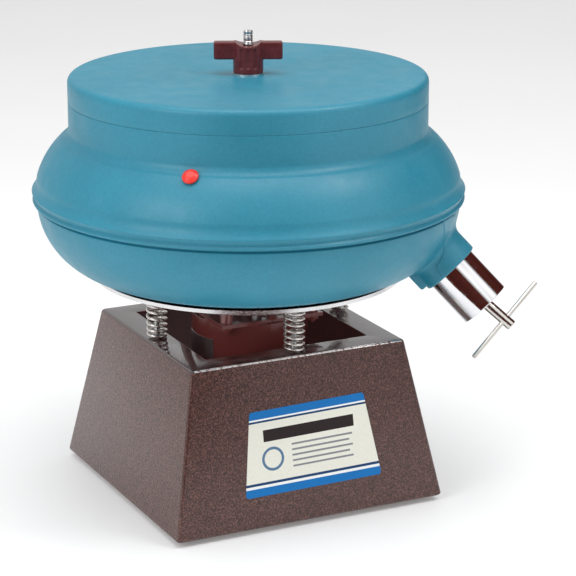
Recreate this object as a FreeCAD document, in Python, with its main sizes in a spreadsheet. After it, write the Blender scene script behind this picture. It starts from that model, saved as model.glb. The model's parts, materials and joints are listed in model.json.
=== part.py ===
"""Vibratory rock tumbler: a ring-shaped bowl and its motor, carried on four springs by a sheet-steel base.

Millimetres, +Z up. The origin is on the bowl's axis, on the plane that the rubber feet stand on,
and -Y is the side with the front label.
"""

import FreeCAD, Part
import math
import os
import Sketcher

from FreeCAD import Placement, Rotation, Vector

doc = FreeCAD.newDocument("RockTumbler")

# ---------------------------------------------------------------------------
# Driving dimensions
# ---------------------------------------------------------------------------

DIMENSIONS = {
    # base: a square pyramid cut off at the top, folded from sheet
    "foot_height": 4.0,
    "base_height": 130.7,
    "base_bottom_half": 118.1,
    "base_top_half": 93.8,
    "sheet": 1.5,
    "top_flange": 22.4,
    "bottom_flange": 34.0,
    "foot_spacing": 96.0,
    "foot_radius": 9.5,
    "foot_stem_radius": 3.2,
    "label_thickness": 0.3,
    "label_corner": 2.5,
    "gland_height": 34.0,
    "gland_radius": 9.0,
    "gland_neck_radius": 6.9,
    "cord_hole_radius": 3.8,
    # springs and the fasteners that locate them
    "spring_circle": 82.6,
    "coil_radius": 7.65,
    "wire": 2.2,
    "coil_pitch": 4.65,
    "seat_clearance": 0.05,
    "small_screw_radius": 2.4,
    "small_nut_radius": 5.5,
    "small_nut_height": 3.3,
    "spring_screw_reach": 15.0,
    "stud_flange_radius": 6.0,
    "stud_flange": 1.5,
    "upper_stud_reach": 11.5,
    # dished pan under the bowl
    "pan_bottom": 170.5,
    "pan_sheet": 3.0,
    "pan_flat_radius": 95.0,
    "pan_rim_radius": 126.0,
    "pan_rim_rise": 10.4,
    # bowl
    "bowl_radius": 175.0,
    "belly_radius": 171.0,
    "belly_height": 240.0,
    "neck_radius": 144.3,
    "neck_foot": 301.0,
    "lid_seam": 324.6,
    "bowl_wall": 6.0,
    "floor_flat_radius": 72.0,
    "floor_dish": 216.0,
    "floor_edge_radius": 126.4,
    "floor_edge_height": 186.3,
    "belly_curve": 60.8,
    "bead_foot_rise": 4.6,
    "bead_rise": 12.5,
    "bead_curve": 16.0,
    "shoulder_start_rise": 23.0,
    "shoulder_curve": 67.0,
    "shoulder_radius": 150.7,
    "shoulder_height": 293.8,
    "neck_curve": 9.5,
    "trough_floor_radius": 98.0,
    "trough_curve": 64.2,
    "hub_fillet": 24.0,
    "hub_crown_curve": 6.5,
    "bowl_floor": 184.0,
    "recess_radius": 60.0,
    "recess_depth": 4.5,
    "hub_foot_radius": 43.0,
    "hub_top_radius": 27.0,
    "hub_top": 268.0,
    "stud_radius": 3.97,
    "stud_top": 378.5,
    # lid and its knob
    "lid_thickness": 4.0,
    "lid_height": 19.6,
    "lid_edge": 5.0,
    "lid_lip": 8.0,
    "lid_dish": 0.8,
    "lid_flat_radius": 30.0,
    "lid_lip_thickness": 3.5,
    "lid_boss_radius": 20.0,
    "lid_boss_depth": 2.0,
    "washer_radius": 12.5,
    "washer_thickness": 1.5,
    "knob_height": 25.0,
    "knob_hub_radius": 12.1,
    "knob_span": 55.0,
    "wing_height": 14.3,
    "wing_thickness": 9.0,
    "insert_radius": 6.0,
    "insert_height": 19.0,
    "knob_angle": -25.0,
    # plug in the bowl's shoulder
    "flow_plug_radius": 6.5,
    "flow_plug_shank": 4.3,
    "flow_plug_angle": -131.8,
    "flow_plug_reach": 151.2,
    "flow_plug_height": 293.4,
    "flow_plug_slope": 48.8,
    # discharge spout
    "spout_angle": -40.0,
    "spout_dip": 45.0,
    "spout_reach": 169.6,
    "spout_height": 190.8,
    "boss_radius": 24.3,
    "boss_length": 46.0,
    "heel_depth": 16.0,
    "heel_width": 30.0,
    "heel_length": 19.0,
    "heel_offset": 18.3,
    "heel_start": 25.8,
    "tube_radius": 21.3,
    "tube_wall": 1.5,
    "boss_setback": 3.2,
    "tube_show": 36.2,
    "tube_seat": 18.0,
    "plug_recess": 1.5,
    "plug_cap_thickness": 3.5,
    "ring_length": 12.0,
    "draw_plate_radius": 17.5,
    "draw_plate_thickness": 3.0,
    "draw_screw_radius": 3.0,
    "handle_hub_radius": 4.5,
    "handle_hub_reach": 27.5,
    "bar_setback": 7.6,
    "bar_radius": 2.0,
    "bar_length": 82.0,
    "bar_angle": 143.0,
    "plug_pivot": 25.0,
    "plug_tilt": 6.0,
    # motor
    "can_radius": 48.0,
    "can_wall": 1.5,
    "can_bottom": 84.0,
    "can_top": 148.0,
    "foil_bottom": 116.0,
    "foil_height": 17.0,
    "foil_width": 38.0,
    "foil_angle": -176.0,
    "motor_plate_half": 45.0,
    "bell_thickness": 3.0,
    "bearing_radius": 11.1,
    "bearing_width": 7.1,
    "shaft_radius": 4.76,
    "shaft_fit": 0.03,
    "shaft_bottom": 56.0,
    "shaft_top": 166.0,
    "air_gap": 0.6,
    "rotor_radius": 24.0,
    "stack_bottom": 100.0,
    "stack_top": 132.0,
    "through_bolt_circle": 43.2,
    "through_bolt_radius": 2.0,
    "standoff_circle": 54.0,
    "standoff_radius": 5.0,
    "upper_weight_bottom": 154.0,
    "lower_weight_bottom": 61.0,
    "weight_thickness": 10.0,
    "weight_hub_radius": 10.5,
    "upper_weight_radius": 36.0,
    "lower_weight_radius": 38.0,
    "set_screw_radius": 2.5,
}

sheet = doc.addObject("Spreadsheet::Sheet", "Sizes")
for row, (alias, number) in enumerate(DIMENSIONS.items(), start=1):
    sheet.set(f"A{row}", alias)
    sheet.set(f"B{row}", str(number))
    sheet.setAlias(f"B{row}", alias)
doc.recompute()


class Size:
    """A length or an angle that carries the spreadsheet expression it comes from."""

    def __init__(self, value, text):
        self.value = value
        self.text = text

    def __add__(self, other):
        other = as_size(other)
        return Size(self.value + other.value, f"({self.text} + {other.text})")

    def __sub__(self, other):
        other = as_size(other)
        return Size(self.value - other.value, f"({self.text} - {other.text})")

    def __rsub__(self, other):
        return as_size(other) - self

    def __mul__(self, factor):
        factor = as_size(factor)
        return Size(self.value * factor.value, f"({self.text} * {factor.text})")

    def __truediv__(self, divisor):
        divisor = as_size(divisor)
        return Size(self.value / divisor.value, f"({self.text} / {divisor.text})")

    def __neg__(self):
        return Size(-self.value, f"(0 - {self.text})")

    __radd__ = __add__
    __rmul__ = __mul__


def as_size(number):
    """A plain number is a size with nothing behind it in the sheet."""
    return number if isinstance(number, Size) else Size(float(number), repr(float(number)))


class Sheet:
    """Reads the spreadsheet's cells by alias, as sizes."""

    def __getattr__(self, alias):
        return Size(float(getattr(sheet, alias)), f"Sizes.{alias}")


s = Sheet()

# ---------------------------------------------------------------------------
# Helpers
# ---------------------------------------------------------------------------

subparts = []
WHOLE = Placement()
QUARTERS = [0, 90, 180, 270]


def bind(thing, **properties):
    """Sets properties and ties each one that comes from the sheet to its cells."""
    for name, size in properties.items():
        size = as_size(size)
        setattr(thing, name, size.value)
        if "Sizes." in size.text:
            thing.setExpression(name, size.text)
    return thing


def lift(x=0, y=0, z=0, turn=0):
    """A placement at x, y, z, turned about +Z by a number of degrees."""
    x, y, z, turn = (as_size(number).value for number in (x, y, z, turn))
    return Placement(Vector(x, y, z), Rotation(Vector(0, 0, 1), turn))


def around(radius, angle, z=0):
    """A placement on a circle about the axis, its own +X pointing outwards."""
    return lift(turn=angle) * lift(x=radius, z=z)


def origin_plane(body, role):
    return next(plane for plane in body.Origin.OriginFeatures if plane.Role == role)


def arc_between(start, end, radius):
    """The short arc from start to end: it turns left of the chord where radius is positive."""
    middle = (start + end) * 0.5
    half = (end - start) * 0.5
    left = Vector(-half.y, half.x, 0).normalize()
    height = math.sqrt(radius * radius - half.Length * half.Length)
    centre = middle + left * (height if radius > 0 else -height)
    if radius < 0:
        start, end = end, start
    angles = [math.atan2(point.y - centre.y, point.x - centre.x) for point in (start, end)]
    return Part.ArcOfCircle(Part.Circle(centre, Vector(0, 0, 1), abs(radius)), *angles)


def outline_sketch(body, role, outline):
    """A closed outline on one of a body's origin planes.

    Each item is (x, y) or (x, y, radius). A radius makes the edge that leaves the point an arc,
    anticlockwise where it is positive. Every point and radius is a constraint tied to the sheet.
    """
    sketch = body.newObject("Sketcher::SketchObject", f"{body.Name}_outline")
    sketch.AttachmentSupport = [(origin_plane(body, role), "")]
    sketch.MapMode = "FlatFace"
    corners = [tuple(as_size(number) for number in item) for item in outline]
    points = [Vector(item[0].value, item[1].value, 0) for item in corners]
    starts = []
    ends = []
    for index, item in enumerate(corners):
        start = points[index]
        end = points[(index + 1) % len(points)]
        if len(item) == 3:
            edge = sketch.addGeometry(arc_between(start, end, item[2].value))
            constrain(sketch, "Radius", (edge,), abs_size(item[2]))
            forward = item[2].value > 0
        else:
            edge = sketch.addGeometry(Part.LineSegment(start, end))
            forward = True
        starts.append((edge, 1 if forward else 2))
        ends.append((edge, 2 if forward else 1))
    for index, (edge, corner) in enumerate(starts):
        sketch.addConstraint(Sketcher.Constraint("Coincident", *ends[index - 1], edge, corner))
        for kind, axis, size in (("DistanceX", -2, corners[index][0]), ("DistanceY", -1, corners[index][1])):
            if size.value == 0:
                sketch.addConstraint(Sketcher.Constraint("PointOnObject", edge, corner, axis))
            else:
                constrain(sketch, kind, (-1, 1, edge, corner), size)
    return sketch


def abs_size(size):
    return size if size.value > 0 else -size


def constrain(sketch, kind, where, size):
    """Adds one dimension to a sketch and ties it to the sheet."""
    number = sketch.addConstraint(Sketcher.Constraint(kind, *where, size.value))
    if "Sizes." in size.text:
        sketch.setExpression(f"Constraints[{number}]", size.text)


def turned(name, outline, place=WHOLE):
    """A piece made on a lathe: an outline of (radius, height) points, revolved about its own Z axis."""
    body = doc.addObject("PartDesign::Body", name)
    sketch = outline_sketch(body, "XZ_Plane", outline)
    turn = body.newObject("PartDesign::Revolution", f"{name}_turn")
    turn.Profile = sketch
    turn.ReferenceAxis = (sketch, ["V_Axis"])
    turn.Angle = 360
    body.Placement = place
    return body


def ring(name, inner, outer, bottom, height, place=WHOLE):
    """A washer, tube or disc with a hole."""
    top = bottom + height
    return turned(name, [(inner, bottom), (outer, bottom), (outer, top), (inner, top)], place)


def rod(name, radius, height, place=WHOLE):
    cylinder = doc.addObject("Part::Cylinder", name)
    cylinder.Placement = place
    return bind(cylinder, Radius=radius, Height=height)


def block(name, length, width, height, place=WHOLE):
    """A box whose base is centred on its placement."""
    box = doc.addObject("Part::Box", name)
    bind(box, Length=length, Width=width, Height=height)
    box.Placement = place * lift(x=length * -0.5, y=width * -0.5)
    return box


def hexagon(name, corner_radius, height, place=WHOLE):
    prism = doc.addObject("Part::Prism", name)
    prism.Polygon = 6
    prism.Placement = place
    return bind(prism, Circumradius=corner_radius, Height=height)


def joined(name, *shapes):
    fuse = doc.addObject("Part::MultiFuse", name)
    fuse.Shapes = list(shapes)
    return fuse


def cut(name, base, *tools):
    """Takes the tools away from the base, all at once."""
    result = doc.addObject("Part::Cut", name)
    result.Base = base
    result.Tool = tools[0] if len(tools) == 1 else joined(f"{name}_tools", *tools)
    return result


def group(name, pieces):
    """Identical pieces that share one node: they stay separate solids."""
    compound = doc.addObject("Part::Compound", name)
    compound.Links = pieces
    return compound


def repeated(name, places, make):
    """One node of identical pieces, made by the same function at each place."""
    return group(name, [make(f"{name}_{number}", place) for number, place in enumerate(places, start=1)])


def subpart(shape, label):
    """Registers a finished sub-part under its label, which names its file."""
    shape.Label = label
    subparts.append(shape)
    return shape


def screw_with_head(name, place, radius, length, head_radius, head_height, hexagonal=True):
    """A screw whose head sits below its placement and whose shank rises from it."""
    drop = place * lift(z=-as_size(head_height))
    head_maker = hexagon if hexagonal else rod
    head = head_maker(f"{name}_head", head_radius, head_height, drop)
    shank = rod(f"{name}_shank", radius, length, place)
    return joined(name, head, shank)


def nut(name, place, bore, corner_radius, height):
    """A hexagonal nut that stands on its placement."""
    body = hexagon(f"{name}_body", corner_radius, height, place)
    hole = rod(f"{name}_bore", bore, height, place)
    return cut(name, body, hole)


# ---------------------------------------------------------------------------
# Reference heights and slopes
# ---------------------------------------------------------------------------

base_top = s.foot_height + s.base_height
wall_slope = math.degrees(math.atan2(s.base_bottom_half.value - s.base_top_half.value, s.base_height.value))
pan_top = s.pan_bottom + s.pan_sheet
lid_top = s.lid_seam + s.lid_height
washer_bottom = lid_top - s.lid_dish
knob_bottom = washer_bottom + s.washer_thickness
thread_clearance = 0.08
fastener_clearance = 0.1
stud_room = 0.3
spring_places = [around(s.spring_circle, angle) for angle in QUARTERS]
foot_corners = ((1, 1), (-1, 1), (-1, -1), (1, -1))
foot_places = [lift(x=s.foot_spacing * x, y=s.foot_spacing * y) for x, y in foot_corners]

# ---------------------------------------------------------------------------
# Base
# ---------------------------------------------------------------------------


def wall_place(turn, along, up_the_slope):
    """A place on a side wall's outer face: its own +Z points out of the wall and its +Y up the slope."""
    bottom_edge = lift(y=-s.base_bottom_half, z=s.foot_height)
    tilt = Placement(Vector(), Rotation(Vector(1, 0, 0), 90 - wall_slope))
    return lift(turn=turn) * bottom_edge * tilt * lift(x=along, y=up_the_slope)


def pyramid(name, bottom_half, top_half, height, bottom):
    """A square pyramid with its top cut off, standing at a height."""
    wedge = doc.addObject("Part::Wedge", name)
    bind(wedge, Xmin=-bottom_half, Xmax=bottom_half, Zmin=-bottom_half, Zmax=bottom_half)
    bind(wedge, X2min=-top_half, X2max=top_half, Z2min=-top_half, Z2max=top_half)
    bind(wedge, Ymin=0, Ymax=height)
    wedge.Placement = lift(z=bottom) * Placement(Vector(), Rotation(Vector(1, 0, 0), 90))
    return wedge


def base_housing():
    """Four sloping walls with flanges turned inwards at the top and at the bottom."""
    slant = (s.base_bottom_half - s.base_top_half) / s.base_height
    outside = pyramid("housing_outside", s.base_bottom_half, s.base_top_half, s.base_height, s.foot_height)
    inner_height = s.base_height - s.sheet * 2
    inner_bottom_half = s.base_bottom_half - s.sheet - slant * s.sheet
    inner_top_half = s.base_top_half - s.sheet + slant * s.sheet
    inside = pyramid(
        "housing_inside", inner_bottom_half, inner_top_half, inner_height, s.foot_height + s.sheet
    )
    mouth = (s.base_top_half - s.top_flange) * 2
    underside = (s.base_bottom_half - s.bottom_flange) * 2
    depth = s.sheet * 2
    tools = [
        inside,
        block("housing_mouth", mouth, mouth, depth, lift(z=base_top - depth)),
        block("housing_underside", underside, underside, depth, lift(z=s.foot_height - s.sheet * 0.5)),
    ]
    screw_hole = s.small_screw_radius + fastener_clearance
    for number, place in enumerate(spring_places, start=1):
        tools.append(rod(f"housing_screw_hole_{number}", screw_hole, depth, place * lift(z=base_top - depth)))
    stem_hole = s.foot_stem_radius + fastener_clearance
    for number, place in enumerate(foot_places, start=1):
        tools.append(rod(f"housing_foot_hole_{number}", stem_hole, depth, place * lift(z=s.foot_height - 1)))
    gland_hole = s.gland_neck_radius + fastener_clearance
    tools.append(rod("housing_gland_hole", gland_hole, 8, wall_place(180, 0, s.gland_height) * lift(z=-6)))
    return cut("base_housing", outside, *tools)


def rubber_foot(name, place):
    """A push-in bumper: a tapered pad, a stem through the flange and a barb above it."""
    flange_top = s.foot_height + s.sheet
    barb_radius = s.foot_stem_radius + 1.1
    outline = [
        (0, 0),
        (s.foot_radius - 1.5, 0),
        (s.foot_radius, s.foot_height),
        (s.foot_stem_radius, s.foot_height),
        (s.foot_stem_radius, flange_top),
        (barb_radius, flange_top),
        (s.foot_stem_radius - 0.7, flange_top + 4),
        (0, flange_top + 4),
    ]
    return turned(name, outline, place)


# along the front wall and up its slope, from the middle of the bottom edge
LABEL_CORNERS = [(-57.2, 26.0), (63.6, 27.2), (52.6, 95.6), (-48.2, 93.6)]


def front_label():
    """The sticker on the front wall: four straight sides that are not quite parallel, round corners."""
    body = doc.addObject("PartDesign::Body", "front_label")
    sketch = outline_sketch(body, "XY_Plane", LABEL_CORNERS)
    pad = body.newObject("PartDesign::Pad", "front_label_pad")
    pad.Profile = sketch
    bind(pad, Length=s.label_thickness)
    doc.recompute()
    upright = [
        f"Edge{number}"
        for number, edge in enumerate(pad.Shape.Edges, start=1)
        if abs(edge.tangentAt(edge.FirstParameter).z) > 0.99
    ]
    rounding = body.newObject("PartDesign::Fillet", "front_label_corners")
    rounding.Base = (pad, upright)
    bind(rounding, Radius=s.label_corner)
    body.Tip = rounding
    body.Placement = wall_place(0, 0, 0)
    return body


def cord_gland():
    """The bush in the back wall that the mains lead comes in through."""
    flange = 2.5
    inner_end = -s.sheet - 9
    outline = [
        (s.cord_hole_radius, inner_end),
        (s.gland_neck_radius - 1, inner_end),
        (s.gland_neck_radius, inner_end + 4),
        (s.gland_neck_radius, 0),
        (s.gland_radius, 0),
        (s.gland_radius - 0.8, flange),
        (s.cord_hole_radius + 1.5, flange + 6),
        (s.cord_hole_radius, flange + 6),
    ]
    return turned("cord_gland", outline, wall_place(180, 0, s.gland_height))


subpart(base_housing(), "base_housing")
subpart(repeated("feet", foot_places, rubber_foot), "rubber_feet")
subpart(front_label(), "front_label")
subpart(cord_gland(), "cord_gland")

# ---------------------------------------------------------------------------
# Springs between the base and the pan
# ---------------------------------------------------------------------------


def spring(name, place):
    """A round-wire helix, free at both ends, between the base's flange and the pan."""
    body = doc.addObject("PartDesign::Body", name)
    sketch = body.newObject("Sketcher::SketchObject", f"{name}_wire")
    sketch.AttachmentSupport = [(origin_plane(body, "XZ_Plane"), "")]
    sketch.MapMode = "FlatFace"
    wire_radius = s.wire / 2
    start_height = wire_radius + s.seat_clearance
    centre = Vector(s.coil_radius.value, start_height.value, 0)
    circle = sketch.addGeometry(Part.Circle(centre, Vector(0, 0, 1), wire_radius.value))
    constrain(sketch, "DistanceX", (-1, 1, circle, 3), s.coil_radius)
    constrain(sketch, "DistanceY", (-1, 1, circle, 3), start_height)
    constrain(sketch, "Radius", (circle,), wire_radius)
    helix = body.newObject("PartDesign::AdditiveHelix", f"{name}_helix")
    helix.Profile = sketch
    helix.ReferenceAxis = (sketch, ["V_Axis"])
    helix.Mode = "pitch-height-angle"
    bind(helix, Pitch=s.coil_pitch, Height=s.pan_bottom - base_top - s.wire - s.seat_clearance * 2)
    body.Placement = place * lift(z=base_top)
    return body


def lower_spring_screw(name, place):
    """Comes up through the flange to locate the spring's lowest coil."""
    under = place * lift(z=base_top - s.sheet)
    length = s.sheet + s.spring_screw_reach
    return screw_with_head(name, under, s.small_screw_radius, length, s.small_nut_radius, s.small_nut_height)


def lower_spring_nut(name, place):
    bore = s.small_screw_radius + thread_clearance
    return nut(name, place * lift(z=base_top), bore, s.small_nut_radius, s.small_nut_height)


def upper_spring_stud(name, place):
    """A stud welded under the pan, whose flange locates the spring's highest coil."""
    outline = [
        (0, s.pan_bottom),
        (0, s.pan_bottom - s.upper_stud_reach),
        (s.small_screw_radius, s.pan_bottom - s.upper_stud_reach),
        (s.small_screw_radius, s.pan_bottom - s.stud_flange),
        (s.stud_flange_radius, s.pan_bottom - s.stud_flange),
        (s.stud_flange_radius, s.pan_bottom),
    ]
    return turned(name, outline, place)


for side, place in zip(("right", "back", "left", "front"), spring_places):
    subpart(spring(f"coil_{side}", place), f"spring_{side}")
subpart(repeated("seat_screws", spring_places, lower_spring_screw), "lower_spring_screws")
subpart(repeated("seat_nuts", spring_places, lower_spring_nut), "lower_spring_nuts")
subpart(repeated("pan_studs", spring_places, upper_spring_stud), "upper_spring_studs")

# ---------------------------------------------------------------------------
# Pan
# ---------------------------------------------------------------------------

standoff_places = [around(s.standoff_circle, angle + 45) for angle in QUARTERS]


def support_pan():
    """Pressed from plate: flat in the middle, with a rim that rises to follow the bowl's underside."""
    rim_top = pan_top + s.pan_rim_rise
    bore = s.stud_radius + fastener_clearance
    dish = turned(
        "pan_dish",
        [
            (bore, s.pan_bottom),
            (s.pan_flat_radius, s.pan_bottom),
            (s.pan_rim_radius, rim_top - s.pan_sheet),
            (s.pan_rim_radius, rim_top),
            (s.pan_flat_radius, pan_top),
            (bore, pan_top),
        ],
    )
    hole = s.small_screw_radius + fastener_clearance
    holes = [
        rod(f"pan_hole_{number}", hole, s.pan_sheet * 2, place * lift(z=s.pan_bottom - 1))
        for number, place in enumerate(standoff_places, start=1)
    ]
    return cut("support_pan", dish, *holes)


subpart(support_pan(), "support_pan")

# ---------------------------------------------------------------------------
# Bowl
# ---------------------------------------------------------------------------

spout_place = (
    around(s.spout_reach, s.spout_angle, s.spout_height)
    * Placement(Vector(), Rotation(Vector(0, 1, 0), 90 + s.spout_dip.value))
)
flow_plug_place = (
    around(s.flow_plug_reach, s.flow_plug_angle, s.flow_plug_height)
    * Placement(Vector(), Rotation(Vector(0, 1, 0), 90 - s.flow_plug_slope.value))
)


def bowl_outside():
    """The moulding's outer shape as a solid: belly, bead, shoulder and neck."""
    return turned(
        "bowl_outside",
        [
            (0, pan_top),
            (s.floor_flat_radius, pan_top, s.floor_dish),
            (s.floor_edge_radius, s.floor_edge_height, s.belly_curve),
            (s.belly_radius, s.belly_height),
            (s.belly_radius + 0.3, s.belly_height + 4),
            (s.bowl_radius - 2.4, s.belly_height + s.bead_foot_rise),
            (s.bowl_radius, s.belly_height + s.bead_rise, -s.bead_curve),
            (s.bowl_radius - 4.4, s.belly_height + s.shoulder_start_rise, s.shoulder_curve),
            (s.shoulder_radius, s.shoulder_height, -s.neck_curve),
            (s.neck_radius, s.neck_foot),
            (s.neck_radius, s.lid_seam),
            (0, s.lid_seam),
        ],
    )


def bowl_inside():
    """The ring-shaped trough for the stones, round a hub that rises in the middle."""
    neck = s.neck_radius - s.bowl_wall
    above = s.lid_seam + 1
    hub_edge = s.hub_top_radius - s.bowl_wall
    return turned(
        "bowl_inside",
        [
            (0, s.hub_top),
            (hub_edge, s.hub_top, -s.hub_crown_curve),
            (s.hub_top_radius, s.hub_top - s.bowl_wall),
            (s.hub_foot_radius, s.bowl_floor + 19, s.hub_fillet),
            (s.hub_foot_radius + 19, s.bowl_floor),
            (s.trough_floor_radius, s.bowl_floor + 1.5, s.trough_curve),
            (s.belly_radius - s.bowl_wall, s.belly_height + 5),
            (164.6, 262, 61),
            (neck + 7, 291),
            (neck, s.neck_foot - 1),
            (neck, above),
            (0, above),
        ],
    )


def bowl_underside():
    """What is open to the pan: a shallow recess for bolt heads and the hollow inside the hub."""
    recess_top = pan_top + s.recess_depth
    roof = s.hub_top - s.bowl_wall
    return turned(
        "bowl_underside",
        [
            (0, pan_top - 1),
            (s.recess_radius, pan_top - 1),
            (s.recess_radius, recess_top),
            (38, recess_top),
            (s.hub_foot_radius - s.bowl_wall, s.bowl_floor + 16),
            (s.hub_top_radius - s.bowl_wall, roof - 6),
            (14, roof),
            (0, roof),
        ],
    )


def bowl():
    """One moulding: the turned bowl with its spout boss, cut by the trough, the hub and the bores."""
    boss_start = s.boss_length + s.boss_setback
    boss = rod("boss_round", s.boss_radius, s.boss_length, spout_place * lift(z=-boss_start))
    heel_place = spout_place * lift(x=s.heel_offset, z=-s.heel_start)
    heel = block("boss_heel", s.heel_depth, s.heel_width, s.heel_length, heel_place)
    solid = joined("bowl_solid", bowl_outside(), boss, heel)
    seat_radius = s.tube_radius + 0.05
    seat = rod("tube_seat_bore", seat_radius, s.tube_seat + 1, spout_place * lift(z=-s.tube_seat))
    passage_radius = s.tube_radius - s.tube_wall
    passage = rod("passage_bore", passage_radius, 34, spout_place * lift(z=-s.tube_seat - 32))
    stud_hole = rod("bowl_stud_bore", s.stud_radius + fastener_clearance, 40, lift(z=s.hub_top - 30))
    plug_hole = rod("flow_plug_bore", s.flow_plug_shank + 0.1, 16, flow_plug_place * lift(z=-10))
    return cut("bowl", solid, bowl_inside(), bowl_underside(), seat, passage, stud_hole, plug_hole)


def flow_plug():
    """A soft domed plug pushed into the shoulder: it closes the hole for running water through."""
    gap = 0.9
    crown_flat = 1
    crown_height = gap + 3.6
    outline = [
        (0, -7),
        (s.flow_plug_shank - 0.6, -7),
        (s.flow_plug_shank, -5.5),
        (s.flow_plug_shank, gap),
        (s.flow_plug_radius, gap),
        (s.flow_plug_radius - 0.3, gap + 1.2, 7.4),
        (crown_flat, crown_height),
        (0, crown_height),
    ]
    return turned("flow_plug", outline, flow_plug_place)


def centre_stud():
    """Threaded rod from the pan up through the hub and the lid, with a thin flange under the pan."""
    flange = 2.5
    outline = [
        (0, s.pan_bottom - flange),
        (9, s.pan_bottom - flange),
        (9, s.pan_bottom),
        (s.stud_radius, s.pan_bottom),
        (s.stud_radius, s.stud_top - 1),
        (s.stud_radius - 1, s.stud_top),
        (0, s.stud_top),
    ]
    return turned("centre_stud", outline)


STUD_NUT_RADIUS = 7.3
STUD_NUT_HEIGHT = 6.7
stud_bore = s.stud_radius + thread_clearance

subpart(bowl(), "bowl")
subpart(flow_plug(), "flow_plug")
subpart(centre_stud(), "centre_stud")
subpart(nut("stud_nut", lift(z=pan_top), stud_bore, STUD_NUT_RADIUS, STUD_NUT_HEIGHT), "stud_lock_nut")
subpart(ring("hub_washer", stud_bore, 12, s.hub_top, s.washer_thickness), "bowl_washer")
bowl_nut_place = lift(z=s.hub_top + s.washer_thickness)
subpart(nut("hub_nut", bowl_nut_place, stud_bore, STUD_NUT_RADIUS, STUD_NUT_HEIGHT), "bowl_nut")

# ---------------------------------------------------------------------------
# Discharge spout: a chromed tube closed by an expanding plug.
# The tube is turned about the spout's own axis. The plug sits a few degrees askew in it, about a pivot
# in the middle of its rubber ring. Heights run outwards along the spout.
# ---------------------------------------------------------------------------

plug_place = (
    spout_place
    * lift(z=s.plug_pivot)
    * Placement(Vector(), Rotation(Vector(0, 1, 0), -s.plug_tilt.value))
    * lift(z=-s.plug_pivot)
)
tube_inner = s.tube_radius - s.tube_wall
cap_radius = tube_inner - 1.2
ring_radius = tube_inner - 0.8
cap_outside = s.tube_show - s.plug_recess
cap_inside = cap_outside - s.plug_cap_thickness
ring_inside = cap_inside - s.ring_length
plate_inside = ring_inside - s.draw_plate_thickness
hub_end = s.tube_show + s.handle_hub_reach
screw_bore = s.draw_screw_radius + s.shaft_fit
bar_height = hub_end - s.bar_setback


def handle_bar(name, radius):
    """The cross bar's cylinder, through the screw's hub at right angles."""
    across = Placement(Vector(), Rotation(Vector(0, 1, 0), 90))
    middle = plug_place * lift(z=bar_height, turn=s.bar_angle) * across
    return rod(name, radius, s.bar_length, middle * lift(z=s.bar_length * -0.5))


def draw_screw():
    """Turned by the cross bar: it pulls the inner plate towards the cap and squeezes the rubber ring."""
    outline = [
        (0, plate_inside - 8),
        (s.draw_screw_radius, plate_inside - 8),
        (s.draw_screw_radius, cap_outside),
        (s.handle_hub_radius, cap_outside),
        (s.handle_hub_radius, hub_end - 0.7),
        (s.handle_hub_radius - 0.7, hub_end),
        (0, hub_end),
    ]
    blank = turned("draw_screw_blank", outline, plug_place)
    return cut("draw_screw", blank, handle_bar("bar_bore", s.bar_radius))


subpart(
    ring("spout_tube", tube_inner, s.tube_radius, -s.tube_seat, s.tube_seat + s.tube_show, spout_place),
    "discharge_tube",
)
subpart(
    ring("cap", screw_bore, cap_radius, cap_inside, s.plug_cap_thickness, plug_place),
    "plug_cap",
)
subpart(
    ring("rubber_ring", s.draw_screw_radius + 1, ring_radius, ring_inside, s.ring_length, plug_place),
    "expansion_ring",
)
subpart(
    ring("inner_plate", screw_bore, s.draw_plate_radius, plate_inside, s.draw_plate_thickness, plug_place),
    "draw_plate",
)
subpart(draw_screw(), "draw_screw")
subpart(handle_bar("cross_bar", s.bar_radius), "t_handle_bar")

# ---------------------------------------------------------------------------
# Lid and knob
# ---------------------------------------------------------------------------


def lid():
    """A shallow cap as wide as the neck, with a lip that drops inside it and a boss for the stud."""
    lip_radius = s.neck_radius - s.bowl_wall - 0.4
    lip_inside = lip_radius - s.lid_lip_thickness
    ceiling = lid_top - s.lid_thickness
    bore = s.stud_radius + 0.5
    outline = [
        (s.lid_flat_radius, washer_bottom),
        (bore, washer_bottom),
        (bore, ceiling - s.lid_boss_depth),
        (s.lid_boss_radius, ceiling - s.lid_boss_depth),
        (s.lid_boss_radius + 4, ceiling),
        (lip_inside - 1.5, ceiling, -3),
        (lip_inside, ceiling - 2.5),
        (lip_inside, s.lid_seam - s.lid_lip),
        (lip_radius, s.lid_seam - s.lid_lip),
        (lip_radius, s.lid_seam),
        (s.neck_radius, s.lid_seam),
        (s.neck_radius, lid_top - s.lid_edge, s.lid_edge),
        (s.neck_radius - s.lid_edge, lid_top),
    ]
    return turned("lid", outline)


def wing_knob():
    """A moulded hand knob with two flat wings, its top face on a level with the stud's end threads."""
    knob_top = knob_bottom + s.knob_height
    turn = lift(turn=s.knob_angle)
    hub = rod("knob_hub", s.knob_hub_radius, s.knob_height, turn * lift(z=knob_bottom))
    wing_place = turn * lift(z=knob_top - s.wing_height)
    wings = block("knob_wings", s.knob_span, s.wing_thickness, s.wing_height, wing_place)
    socket = rod("knob_socket", s.insert_radius, s.insert_height, lift(z=knob_bottom))
    bore = rod("knob_bore", s.stud_radius + stud_room, s.knob_height, lift(z=knob_bottom))
    return cut("wing_knob", joined("knob_blank", hub, wings), socket, bore)


subpart(lid(), "lid")
subpart(
    ring("washer_disc", s.stud_radius + stud_room, s.washer_radius, washer_bottom, s.washer_thickness),
    "knob_washer",
)
subpart(wing_knob(), "wing_knob")
subpart(ring("threaded_bush", stud_bore, s.insert_radius, knob_bottom, s.insert_height), "knob_insert")

# ---------------------------------------------------------------------------
# Motor, hung under the pan
# ---------------------------------------------------------------------------

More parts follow.
